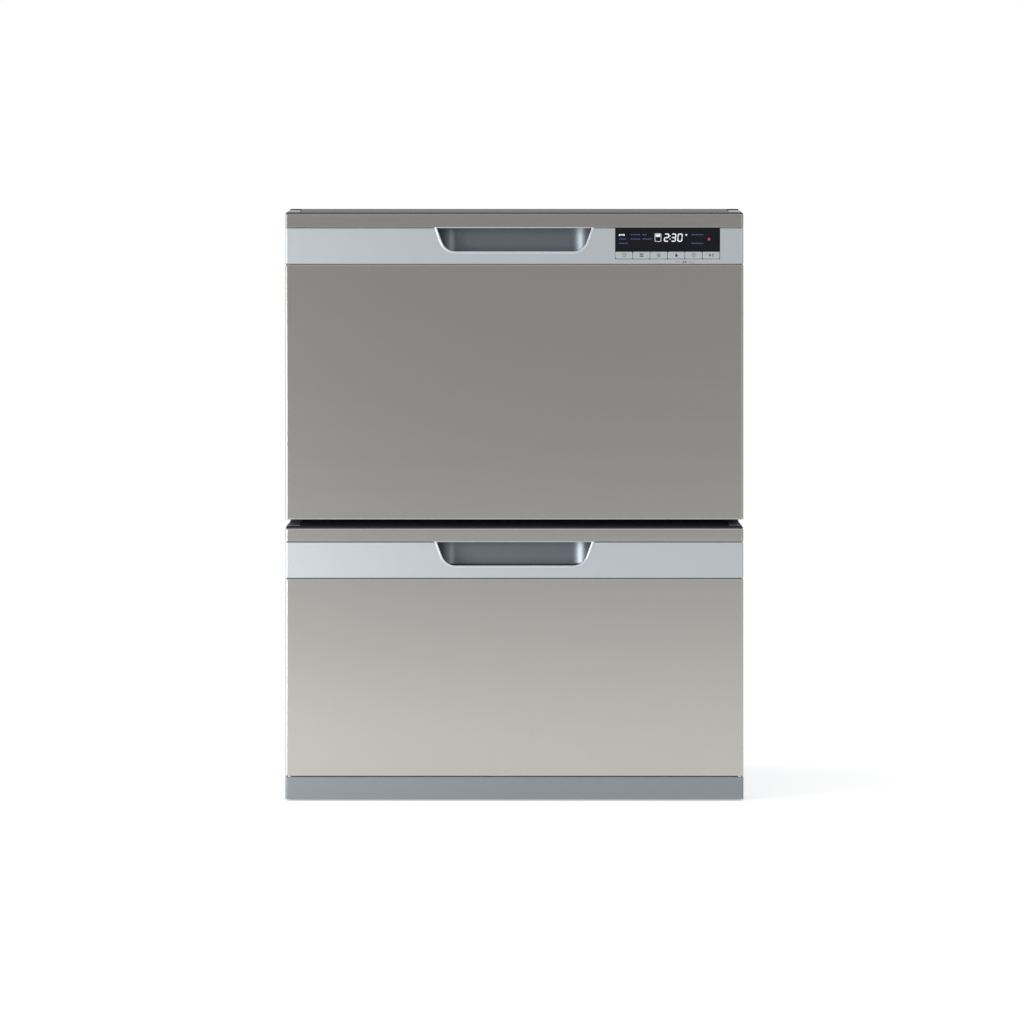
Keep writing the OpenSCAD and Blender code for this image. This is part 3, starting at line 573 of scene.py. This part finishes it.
def add_scoop(level):
    """Smooth finger cup with its rounded bright rim, in place of the CAD scoop."""
    z_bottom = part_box(f"{level}_top_strip")[0].z - SCOOP_H
    node, drawer = f"{level}_handle_scoop", f"{level}_drawer"

    heights = [CUP_FILLET * (1 - math.cos(math.radians(i * 15))) for i in range(7)]
    heights += [CUP_FILLET + (SCOOP_H + CUP_RISE - CUP_FILLET) * i / 6 for i in range(1, 7)]
    bm = bmesh.new()
    add_grid(bm, [cup_slice(h, z_bottom) for h in heights])
    bm.verts.ensure_lookup_table()
    n = len(bm.verts) // len(heights)
    bm.faces.new(bm.verts[:n])
    bm.faces.new(bm.verts[-n:])
    crease = math.radians(60)
    # The cup takes the darkened silver, which paints the shade of the recess.
    cup = add_piece(f"{level}_scoop_cup", bm, SHADED_SCOOP, drawer, crease, CUP_WALL)
    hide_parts(node)

    profile = rim_profile()
    rows = []
    for x, h, nx, nh in rim_stations():
        rows.append([(x + nx * o, FACE_Y - d, z_bottom + h + nh * o) for o, d in profile])
    bm = bmesh.new()
    add_grid(bm, rows, closed=True, caps=True)
    rim = add_piece(f"{level}_scoop_rim", bm, RIM, drawer)
    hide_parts(node)
    scoops.extend((cup, rim))


def add_scoop_lip(level):
    """Rolled lower edge of the top strip over the scoop's mouth, in the brighter rim silver rather than the
    strip's steel: partly a painted highlight along the edge.
    """
    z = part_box(f"{level}_top_strip")[0].z
    section = arc(FACE_Y + LIP_R, z, LIP_R, 0, -180, 8)
    rows = [[(x, *spot) for spot in section] for x in (-SCOOP_HALF, SCOOP_HALF)]
    bm = bmesh.new()
    add_grid(bm, rows, closed=True, caps=True)
    add_piece(f"{level}_scoop_lip", bm, RIM, f"{level}_drawer")


# ---------- display and buttons ----------

# How far the window reaches past the outer buttons, and the seam of the strip round it.
WINDOW_MARGIN = 0.35 * MM
WINDOW_GAP = 0.3 * MM
WINDOW_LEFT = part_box("button_1")[0].x - WINDOW_MARGIN
WINDOW_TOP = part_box("upper_handle_strip")[1].z + 0.5 * MM
# Half the thickness of the marks in the window and on the strip, and of the buttons' print.
MARK_T = 0.06 * MM
PRINT_T = 0.03 * MM
# Blue bars, in mm: half their height, the pitch wanted, and the share of the pitch that each one fills.
BAR_HALF = 0.75
BAR_PITCH = 2.6
BAR_FILL = 0.72
# Edge roll and corner radius of a button, the depth of its cap's back behind the face, and its stem.
BUTTON_ROLL = 0.5 * MM
BUTTON_CORNER = 0.6 * MM
BUTTON_DEPTH = 5 * MM
BUTTON_STEM_R = 2 * MM
# Bars of each figure that is shown, by the usual letters of a seven-segment digit.
SEGMENTS = {"2": "abged", "3": "abgcd", "0": "abcdef"}


def window_spot(x, z):
    """A point in mm from the window's top left corner, in the frame."""
    return WINDOW_LEFT + x * MM, WINDOW_TOP - z * MM


def bar(x0, z0, x1, z1, w):
    """Bar with pointed ends between two points, as in a seven-segment digit."""
    length = math.hypot(x1 - x0, z1 - z0)
    ux, uz = (x1 - x0) / length, (z1 - z0) / length
    h = w / 2
    points = ((0, 0), (h, h), (length - h, h), (length, 0), (length - h, -h), (h, -h))
    return [(x0 + a * ux - b * uz, z0 + a * uz + b * ux) for a, b in points]


def digit_outlines(x, z, w, h, figure, slant=0.08, stroke=1.5):
    """Outlines of a seven-segment digit whose top left corner is at x, z (mm, z down)."""
    ends = {
        "a": (0, 0, 1, 0), "b": (1, 0, 1, 0.5), "c": (1, 0.5, 1, 1), "d": (0, 1, 1, 1),
        "e": (0, 0.5, 0, 1), "f": (0, 0, 0, 0.5), "g": (0, 0.5, 1, 0.5),
    }
    for key in SEGMENTS[figure]:
        a, b, c, d = ends[key]
        yield [
            (px + slant * (h - (pz - z)), pz)
            for px, pz in bar(x + a * w, z + b * h, x + c * w, z + d * h, stroke)
        ]


def add_window_marks(name, outlines, material):
    bm = bmesh.new()
    for outline in outlines:
        add_plate(bm, [window_spot(x, z) for x, z in outline], FACE_Y - MARK_T, FACE_Y + MARK_T)
    add_piece(name, bm, material, "upper_drawer")


def add_display():
    """Lit marks in the window's face: plain bars, a drawer symbol, a time and a red dot."""
    white = [round_rect(4.6 + i * 2.7, 8.1, 7.0 + i * 2.7, 10.4 - 0.5 * (i == 1), 0.9, 4) for i in range(3)]
    white.append(round_rect(52.6, 8.4, 58.7, 11.8, 0.7))
    for x, figure in ((63.9, "2"), (73.0, "3"), (81.4, "0")):
        white.extend(digit_outlines(x, 8.0, 5.2, 9.4, figure))
    white.extend(circle(71.3, z, 0.75, 12) for z in (10.6, 14.6))
    white.append([(91.0, 8.2), (94.0, 8.2), (92.5, 11.2)])
    add_window_marks("display_white", white, LIT_WHITE)
    add_symbol_frame(round_rect(51.4, 7.2, 59.9, 18.0, 1.6))
    # Rows of blue bars: left end, height and right end.
    blue = [
        (4.8, 14.5, 14.6), (4.8, 20.2, 17.3), (20.1, 8.9, 33.0), (35.5, 8.9, 41.7), (20.1, 14.5, 33.0),
        (35.7, 14.5, 48.1), (99.5, 8.9, 115.4), (99.5, 20.2, 115.4),
    ]
    bars = []
    for x0, z, x1 in blue:
        count = max(2, round((x1 - x0) / BAR_PITCH))
        pitch = (x1 - x0) / count
        for i in range(count):
            left, right = x0 + i * pitch, x0 + (i + BAR_FILL) * pitch
            bars.append(box_outline(left, z - BAR_HALF, right, z + BAR_HALF))
    add_window_marks("display_blue", bars, LIT_BLUE)
    add_window_marks("display_red", [circle(122.2, 14.7, 1.8)], LIT_RED)


def add_symbol_frame(outline):
    """Line of even width round the drawer symbol."""
    xs, zs = [p[0] for p in outline], [p[1] for p in outline]
    cx, cz = (min(xs) + max(xs)) / 2, (min(zs) + max(zs)) / 2
    inner = [(cx + (x - cx) * 0.86, cz + (z - cz) * 0.9) for x, z in outline]
    bm = bmesh.new()
    loops = [outline, inner, inner, outline, outline]
    depths = [-MARK_T, -MARK_T, MARK_T, MARK_T, -MARK_T]
    rows = []
    for loop, depth in zip(loops, depths):
        spots = [window_spot(x, z) for x, z in loop]
        rows.append([(x, FACE_Y + depth, z) for x, z in spots])
    add_grid(bm, rows, closed=True)
    bmesh.ops.remove_doubles(bm, verts=bm.verts, dist=1e-7)
    add_piece("display_symbol", bm, LIT_WHITE, "upper_drawer")


def ring_outline(cx, cz, r, w, a0=0, a1=360, n=28):
    """A flat ring, or part of one, as one outline."""
    return arc(cx, cz, r + w / 2, a0, a1, n) + arc(cx, cz, r - w / 2, a1, a0, n)


def button_symbol(index):
    """Generic symbols, in mm about the middle of a button, z up."""
    line = 0.52
    if index == 1:
        return [ring_outline(0, 0, 2.1, line, 115, 425), box_outline(-line / 2, 0.6, line / 2, 2.7)]
    if index == 2:
        return [box_outline(-2.4, z, 2.4, z + 1.5) for z in (-2.1, 0.6)]
    if index == 3:
        return [ring_outline(0, 0, 2.2, line, 2, 358), ring_outline(0, 0, 1.1, line, 2, 358)]
    if index == 4:
        drop = [(0, 2.7), *arc(0, -0.6, 1.7, 35, -215, 18)]
        return [drop]
    if index == 5:
        hands = [box_outline(-line / 2, 0, line / 2, 1.5), box_outline(0, -line / 2, 1.2, line / 2)]
        return [ring_outline(0, 0, 2.2, line, 2, 358), *hands]
    arrow = [(-2.6, -1.9), (-2.6, 1.9), (0.4, 0)]
    return [arrow, box_outline(1.2, -1.9, 1.8, 1.9), box_outline(2.4, -1.9, 3.0, 1.9)]


def add_button(index):
    """Button cap with a rolled edge and a printed symbol, in place of the CAD button."""
    node = f"button_{index}"
    low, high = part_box(node)
    x0, x1, z0, z1 = low.x, high.x, low.z, high.z
    y_front, y_back = low.y, FACE_Y + BUTTON_DEPTH
    rows, depths = [], []
    for i in range(5):
        a = math.radians(i * 22.5)
        inset = BUTTON_ROLL * (1 - math.sin(a))
        r = BUTTON_CORNER + BUTTON_ROLL - inset
        rows.append(round_rect(x0 + inset, z0 + inset, x1 - inset, z1 - inset, r))
        depths.append(y_front + BUTTON_ROLL * (1 - math.cos(a)))
    rows.append(rows[-1])
    depths.append(y_back)
    bm = bmesh.new()
    add_grid(bm, [[(x, y, z) for x, z in row] for row, y in zip(rows, depths)], closed=True, caps=True)
    cx, cz = (x0 + x1) / 2, (z0 + z1) / 2
    stem = [[(cx + x, y, cz + z) for x, z in circle(0, 0, BUTTON_STEM_R)] for y in (y_back, high.y)]
    add_grid(bm, stem, closed=True, caps=True)
    cap = add_piece(f"{node}_cap", bm, BUTTON, node)
    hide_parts(node)
    bm = bmesh.new()
    for outline in button_symbol(index):
        spots = [(cx + x * MM, cz + z * MM) for x, z in outline]
        add_plate(bm, spots, y_front - PRINT_T, y_front + PRINT_T)
    add_piece(f"{node}_symbol", bm, PRINT, node)


def add_strip_mark():
    """Small printed line with a dot in its middle, under the buttons."""
    x_mid = WINDOW_LEFT + 90.2 * MM
    z_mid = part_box("button_1")[0].z - 4.4 * MM
    outlines = [box_outline(x - 3.6, -0.2, x + 3.6, 0.2) for x in (-8.6, 8.6)]
    outlines += [round_rect(x - 1.0, -0.9, x + 1.0, 0.9, 0.4) for x in (-1.5, 1.5)]
    bm = bmesh.new()
    for outline in outlines:
        spots = [(x_mid + x * MM, z_mid + z * MM) for x, z in outline]
        add_plate(bm, spots, FACE_Y - MARK_T, FACE_Y + MARK_T)
    add_piece("strip_mark", bm, PRINT, "upper_drawer")


# ---------- inside the drawers ----------

TUB_CORNER = 34 * MM
TUB_CY = (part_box("lower_spray_arm")[0].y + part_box("lower_spray_arm")[1].y) / 2
# Bead of the tub's rim: its radius, and how far its middle lies within the rim's edge and below its top.
BEAD_R = 2.1 * MM
BEAD_IN = 2 * MM
# Gasket: insets of its inner and outer side, depth of its rounding, and its height.
GASKET_INNER = 6.55 * MM
GASKET_OUTER = 2.45 * MM
GASKET_ROUND = 0.9 * MM
GASKET_H = 1.5 * MM
# Fixed tines, two rows of nine, and the top of those in the lower drawer.
TINE_ROWS = (-140 * MM, 0.0)
TINE_YS = [(-170 + 40 * i) * MM for i in range(9)]
FIXED_TINE_TOP = 222.82 * MM
# Blade of the spray arm: length, half widths at the tip and the hub, half thickness, height of its middle.
BLADE_LENGTH = 199 * MM
BLADE_TIP = 13 * MM
BLADE_ROOT = 24 * MM
BLADE_HALF = 5 * MM
BLADE_RISE = 8 * MM
# Nozzles along a blade, and the slightly skew line that they stand on.
NOZZLE_XS = [(60 + 34 * i) * MM for i in range(5)]
NOZZLE_MIDDLE = 128 * MM
NOZZLE_SKEW = 1 / 20


def level_rise(level):
    return PITCH if level == "upper" else 0.0


def add_rim_bead(level):
    """Rounded outer edge of the tub's rim."""
    low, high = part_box(f"{level}_tub")
    section = circle(BEAD_IN, high.z - BEAD_IN, BEAD_R, 16)
    bm = bmesh.new()
    add_ring_sweep(bm, (low.x, low.y, high.x, high.y), TUB_CORNER, section)
    add_piece(f"{level}_rim_bead", bm, TUB, f"{level}_drawer")


def add_gasket(level):
    """Dark bead of the gasket under the lid."""
    low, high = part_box(f"{level}_lid")
    under = low.z - 0.05 * MM
    middle, half = (GASKET_INNER + GASKET_OUTER) / 2, (GASKET_INNER - GASKET_OUTER) / 2
    section = []
    for i in range(13):
        a = math.radians(15 * i)
        section.append((middle + half * math.cos(a), under + GASKET_ROUND * (1 - math.sin(a))))
    section += [(GASKET_OUTER, under + GASKET_H), (GASKET_INNER, under + GASKET_H)]
    bm = bmesh.new()
    add_ring_sweep(bm, (low.x, low.y, high.x, high.y), TUB_CORNER, section)
    add_piece(f"{level}_gasket", bm, GASKET, f"{level}_lid")


def add_spray_arm(level):
    """Smooth arm: two tapering blades, a turned hub and raised nozzles."""
    node = f"{level}_spray_arm"
    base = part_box(node)[0].z
    blade = []
    for a in (82, 70, 55, 40, 20):
        c, s = math.cos(math.radians(a)), math.sin(math.radians(a))
        blade.append((BLADE_LENGTH + BLADE_TIP * s, BLADE_TIP * c, BLADE_HALF * math.sqrt(c)))
    for x in (BLADE_LENGTH, 130 * MM, 60 * MM):
        taper = (BLADE_ROOT - BLADE_TIP) * (1 - x / BLADE_LENGTH)
        blade.append((x, BLADE_TIP + taper, BLADE_HALF))
    stations = [(-x, w, t) for x, w, t in blade] + [(0.0, BLADE_ROOT, BLADE_HALF)] + blade[::-1]
    rows = []
    for x, w, t in stations:
        row = []
        for i in range(24):
            c, s = math.cos(math.tau * i / 24), math.sin(math.tau * i / 24)
            y = w * math.copysign(abs(c) ** 0.75, c)
            z = t * math.copysign(abs(s) ** 0.6, s)
            row.append((x, TUB_CY + y, base + BLADE_RISE + z))
        rows.append(row)
    bm = bmesh.new()
    add_grid(bm, rows, closed=True, caps=True)
    hub = [(9.2, 0), (26, 0), (27, 1), (27, 13), (25.6, 15.2), (23, 16), (9.2, 16)]
    add_lathe(bm, [(r * MM, h * MM) for r, h in hub], (0, TUB_CY, base), (0, 0, 1), 40, ring=True)
    cone = [(6, -2), (6, 0), (4.4, 2.5), (3.8, 3), (2.4, 3), (2, 2.5), (2, 0.4)]
    for turn in (-1, 1):
        for x in NOZZLE_XS:
            place = (turn * x, TUB_CY + turn * (x - NOZZLE_MIDDLE) * NOZZLE_SKEW, base + 12 * MM)
            add_lathe(bm, [(r * MM, h * MM) for r, h in cone], place, (0, 0, 1), 20)
    arm = add_piece(f"{node}_shell", bm, ARM, node)
    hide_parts(node)


def add_tine_tips(level):
    """Rounded ends of the coating on every tine."""
    dome = ((1.75, -2.5), (1.75, 0.3), (1.5, 1.1), (0.9, 1.7), (0.3, 1.9))
    profile = [(r * MM, h * MM) for r, h in dome]
    fixed = FIXED_TINE_TOP + level_rise(level)
    bm = bmesh.new()
    for x in TINE_ROWS:
        for y in TINE_YS:
            add_lathe(bm, profile, (x, y, fixed), (0, 0, 1), 12)
    add_piece(f"{level}_tine_tips", bm, WIRE, f"{level}_drawer")
    low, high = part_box(f"{level}_folding_tines")
    bm = bmesh.new()
    for y in TINE_YS:
        add_lathe(bm, profile, ((low.x + high.x) / 2, y, high.z), (0, 0, 1), 12)
    add_piece(f"{level}_folding_tips", bm, TINES, f"{level}_folding_tines")


# ---------- fasteners and threads ----------

REAR_WALL_Y = 240 * MM
# Screws of the slides and the cross rails along the depth, and of the rear wall along the width.
SLIDE_SCREW_YS = (-215, -70, 80, 230)
RAIL_SCREW_YS = (-160, 140)
REAR_SCREW_XS = (-270, -90, 90, 270)
REAR_SCREW_Z = 100 * MM
VALVE_Z = 70 * MM
# Half section of a screw's head, (radius, height) in mm, from its edge to the bottom of its recess.
SCREW = ((3.1, 0), (3.1, 0.5), (2.9, 1.1), (2.4, 1.6), (1.15, 1.8), (0.85, 0.7))


def add_screws(name, spots, axis, body, material):
    """Pan head screws with a cross recess, standing on the given spots."""
    bm = bmesh.new()
    for spot in spots:
        add_lathe(bm, [(r * MM, h * MM) for r, h in SCREW], spot, axis, 32, flute=0.5)
    add_piece(name, bm, material, body)


def add_thread(name, base, axis, radius, pitch, length, material, body):
    """Raised helix of a thread, wound on a plain stem."""
    up = Vector(axis)
    across = up.orthogonal().normalized()
    side = up.cross(across)
    steps = 20
    depth = 0.45 * pitch
    root = -0.1 * MM
    teeth = ((root, -0.4 * pitch), (depth, -0.08 * pitch), (depth, 0.08 * pitch), (root, 0.4 * pitch))
    count = int(length / pitch * steps)
    rows = []
    for i in range(count + 1):
        a = math.tau * i / steps
        ray = across * math.cos(a) + side * math.sin(a)
        fade = min(1.0, i / steps, (count - i) / steps)
        centre = Vector(base) + up * (pitch * i / steps)
        rows.append([centre + ray * (radius + max(d * fade, root)) + up * h for d, h in teeth])
    bm = bmesh.new()
    add_grid(bm, rows, closed=True, caps=True)
    add_piece(name, bm, material, body)


def add_fasteners():
    """Screws of the side panels and the rear wall, and the threads of the inlet and the feet."""
    side_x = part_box("side_panels")[1].x
    slide_z = (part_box("lower_inner_rails")[0].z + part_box("lower_inner_rails")[1].z) / 2
    rows = [(y * MM, slide_z + rise) for y in SLIDE_SCREW_YS for rise in (0.0, PITCH)]
    rows += [(y * MM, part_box("cross_rails")[0].z + 7 * MM) for y in RAIL_SCREW_YS]
    for s, name in ((-1, "left"), (1, "right")):
        spots = [(s * side_x, y, z) for y, z in rows]
        add_screws(f"{name}_side_screws", spots, (s, 0, 0), "chassis", SLIDE)
    spots = [(x * MM, REAR_WALL_Y, REAR_SCREW_Z) for x in REAR_SCREW_XS]
    add_screws("rear_wall_screws", spots, (0, 1, 0), "chassis", SLIDE)
    x_valve = (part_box("inlet_valve")[0].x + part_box("inlet_valve")[1].x) / 2
    add_thread("inlet_thread", (x_valve, REAR_WALL_Y + 10 * MM, VALVE_Z), (0, 1, 0),
               13.2 * MM, 1.8 * MM, 14 * MM, VALVE, "chassis")
    for foot in [name for name in nodes if name.startswith("foot")]:
        low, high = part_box(foot)
        x, y = (low.x + high.x) / 2, (low.y + high.y) / 2
        add_thread(f"{foot}_thread", (x, y, 38.5 * MM), (0, 0, 1),
                   5 * MM, 1.5 * MM, 52 * MM, BLACK, foot)


# ---------- camera, light and floor ----------

CAMERA_X = -3.1 * MM
CAMERA_Z = 376.8 * MM
# From the fronts' face, in metres, as is the width of the picture there.
CAMERA_DISTANCE = 4.0
VIEW_WIDTH = 1.3353
SENSOR = 36.0
# Pieces that end before this depth count as part of the fronts.
FRONT_DEPTH = FACE_Y + 60 * MM
FLOOR_HALF = 40
FLOOR_GLOW = 0.45
WALL_H = 3.2
WALL_GLOW = 0.36
SOFTBOX_H = 2.6
SOFTBOX_GLOW = 1.25


def add_camera():
    """Level camera, straight in front of the middle of the unit, as in the photo."""
    camera = bpy.data.objects.new("camera", bpy.data.cameras.new("camera"))
    scene.collection.objects.link(camera)
    camera.data.sensor_width = SENSOR
    camera.data.lens = SENSOR * CAMERA_DISTANCE / VIEW_WIDTH
    camera.location = (CAMERA_X, FACE_Y - CAMERA_DISTANCE, CAMERA_Z)
    camera.rotation_euler = (math.pi / 2, 0, 0)
    scene.camera = camera


def add_area(name, place, target, size, power):
    """Area lamp of a (width, height) at a place, aimed at a target, with its power in watts."""
    data = bpy.data.lights.new(name, "AREA")
    data.shape = "RECTANGLE"
    data.size, data.size_y = size
    data.energy = power
    lamp = bpy.data.objects.new(name, data)
    lamp.location = place
    lamp.rotation_euler = (Vector(target) - Vector(place)).to_track_quat("-Z", "Y").to_euler()
    lamp.visible_camera = False
    scene.collection.objects.link(lamp)
    return lamp


def light_only(lamp, group, pieces):
    """Lets a lamp light nothing but the given pieces."""
    lit_by_it = bpy.data.collections.new(group)
    for piece in pieces:
        lit_by_it.objects.link(piece)
    lamp.light_linking.receiver_collection = lit_by_it


def in_front(piece):
    """Whether a piece lies wholly within the depth of the fronts."""
    return max((piece.matrix_world @ Vector(corner)).y for corner in piece.bound_box) < FRONT_DEPTH


def add_lamps():
    """Near lamps for the fronts, the scoops and the floor, and a far one for what lies behind the fronts."""
    bpy.context.view_layer.update()
    solids = [obj for obj in scene.objects if obj.type == "MESH"]
    fronts = [obj for obj in solids if in_front(obj) or obj.name == "floor"]
    key = add_area("key", (-1.3, -1.6, 0.35), (0, FACE_Y, 0.35), (0.9, 0.7), 16)
    light_only(key, "fronts", fronts)
    room = add_area("room", (-2.6, -3.6, 1.2), (0, 0, 0.5), (2.4, 2.4), 60)
    room.visible_glossy = False
    light_only(room, "interior", [obj for obj in solids if obj not in fronts])
    side = add_area("side", (-2.6, -1.0, 0.6), (0, FACE_Y, 0.5), (1.0, 1.4), 16)
    side.visible_glossy = False
    light_only(side, "edges", fronts)
    for hand, x, y, width, power in (("left", -1.72, -1.65, 1.0, 28), ("right", 1.15, -2.2, 0.6, 5)):
        scoop_light = add_area(f"scoop_light_{hand}", (x, y, 0.62), (0, FACE_Y, 0.6), (width, 1.2), power)
        light_only(scoop_light, f"scoops_{hand}", scoops)
    add_area("fill", (1.6, -2.6, 0.9), (0, FACE_Y, 0.4), (1.2, 1.2), 3)


def background_share(tree):
    """1 for rays that should see the white background: from the camera, in mirrors and through glass."""
    path = tree.nodes.new("ShaderNodeLightPath")
    total = path.outputs["Is Camera Ray"]
    for kind in ("Is Glossy Ray", "Is Transmission Ray"):
        add = tree.nodes.new("ShaderNodeMath")
        add.operation = "MAXIMUM"
        tree.links.new(total, add.inputs[0])
        tree.links.new(path.outputs[kind], add.inputs[1])
        total = add.outputs[0]
    return total


def add_world():
    """White where it is seen; a soft pale sky, darker at the horizon, for the light."""
    world = bpy.data.worlds.new("studio")
    scene.world = world
    world.use_nodes = True
    tree = world.node_tree
    sky = tree.nodes["Background"]
    coords = tree.nodes.new("ShaderNodeTexCoord")
    split = tree.nodes.new("ShaderNodeSeparateXYZ")
    ramp = tree.nodes.new("ShaderNodeValToRGB")
    tree.links.new(coords.outputs["Generated"], split.inputs["Vector"])
    tree.links.new(split.outputs["Z"], ramp.inputs["Fac"])
    ramp.color_ramp.elements[0].color = (0.62, 0.62, 0.62, 1)
    ramp.color_ramp.elements[1].color = (0.8, 0.8, 0.81, 1)
    ramp.color_ramp.elements[1].position = 0.8
    tree.links.new(ramp.outputs["Color"], sky.inputs["Color"])
    white = tree.nodes.new("ShaderNodeBackground")
    white.inputs["Color"].default_value = (1, 1, 1, 1)
    mix = tree.nodes.new("ShaderNodeMixShader")
    tree.links.new(background_share(tree), mix.inputs[0])
    tree.links.new(sky.outputs[0], mix.inputs[1])
    tree.links.new(white.outputs[0], mix.inputs[2])
    tree.links.new(mix.outputs[0], tree.nodes["World Output"].inputs["Surface"])


def add_floor():
    """Pale floor that reads white where it is lit and keeps the shadow."""
    n = Nodes("studio floor")
    n.set(Roughness=0.9)
    n.shader.inputs["Specular IOR Level"].default_value = 0.0
    n.tint(n.noise(3.0, 2.0), (0.81, 0.81, 0.81), 0.99, 1.01)
    n.shader.inputs["Emission Color"].default_value = (1, 1, 1, 1)
    n.shader.inputs["Emission Strength"].default_value = FLOOR_GLOW
    half = FLOOR_HALF
    add_stage("floor", [(-half, -half, 0), (half, -half, 0), (half, half, 0), (-half, half, 0)], n.material)


def add_reflector(name, x0, y0, x1, y1, height, glow):
    """Upright studio surface from the floor up, which only reflections show."""
    n = Nodes(name)
    n.set(Roughness=1.0)
    n.shader.inputs["Base Color"].default_value = (0, 0, 0, 1)
    n.link(n.between(n.noise(0.4, 2.0), (0.97, 0.98, 1, 1), (1, 1, 1, 1)), n.shader.inputs["Emission Color"])
    n.shader.inputs["Emission Strength"].default_value = glow
    wall = add_stage(name, [(x0, y0, 0), (x1, y1, 0), (x1, y1, height), (x0, y0, height)], n.material)
    for seen in ("visible_camera", "visible_diffuse", "visible_shadow", "visible_transmission"):
        setattr(wall, seen, False)


def add_stage(name, corners, material):
    """Flat sheet of the studio, which is no part of the object."""
    mesh = bpy.data.meshes.new(name)
    mesh.from_pydata(corners, [], [tuple(range(len(corners)))])
    mesh.materials.append(material)
    sheet = bpy.data.objects.new(name, mesh)
    scene.collection.objects.link(sheet)
    return sheet


scene.view_settings.view_transform = "Standard"
add_camera()
add_world()
add_floor()
add_reflector("studio_wall", -4.0, -6.0, 6.0, -6.0, WALL_H, WALL_GLOW)
add_reflector("right_wall", 6.0, -6.0, 6.0, 1.0, WALL_H, WALL_GLOW)
add_reflector("left_softbox", -2.3, -2.2, -3.0, -0.4, SOFTBOX_H, SOFTBOX_GLOW)
finish_nodes()
for level in LEVELS:
    add_scoop(level)
    add_scoop_lip(level)
    add_cap(level)
    add_rim_bead(level)
    add_gasket(level)
    add_spray_arm(level)
    add_tine_tips(level)
add_fronts()
add_fasteners()
add_display()
for index in range(1, 7):
    add_button(index)
add_strip_mark()
add_lamps()
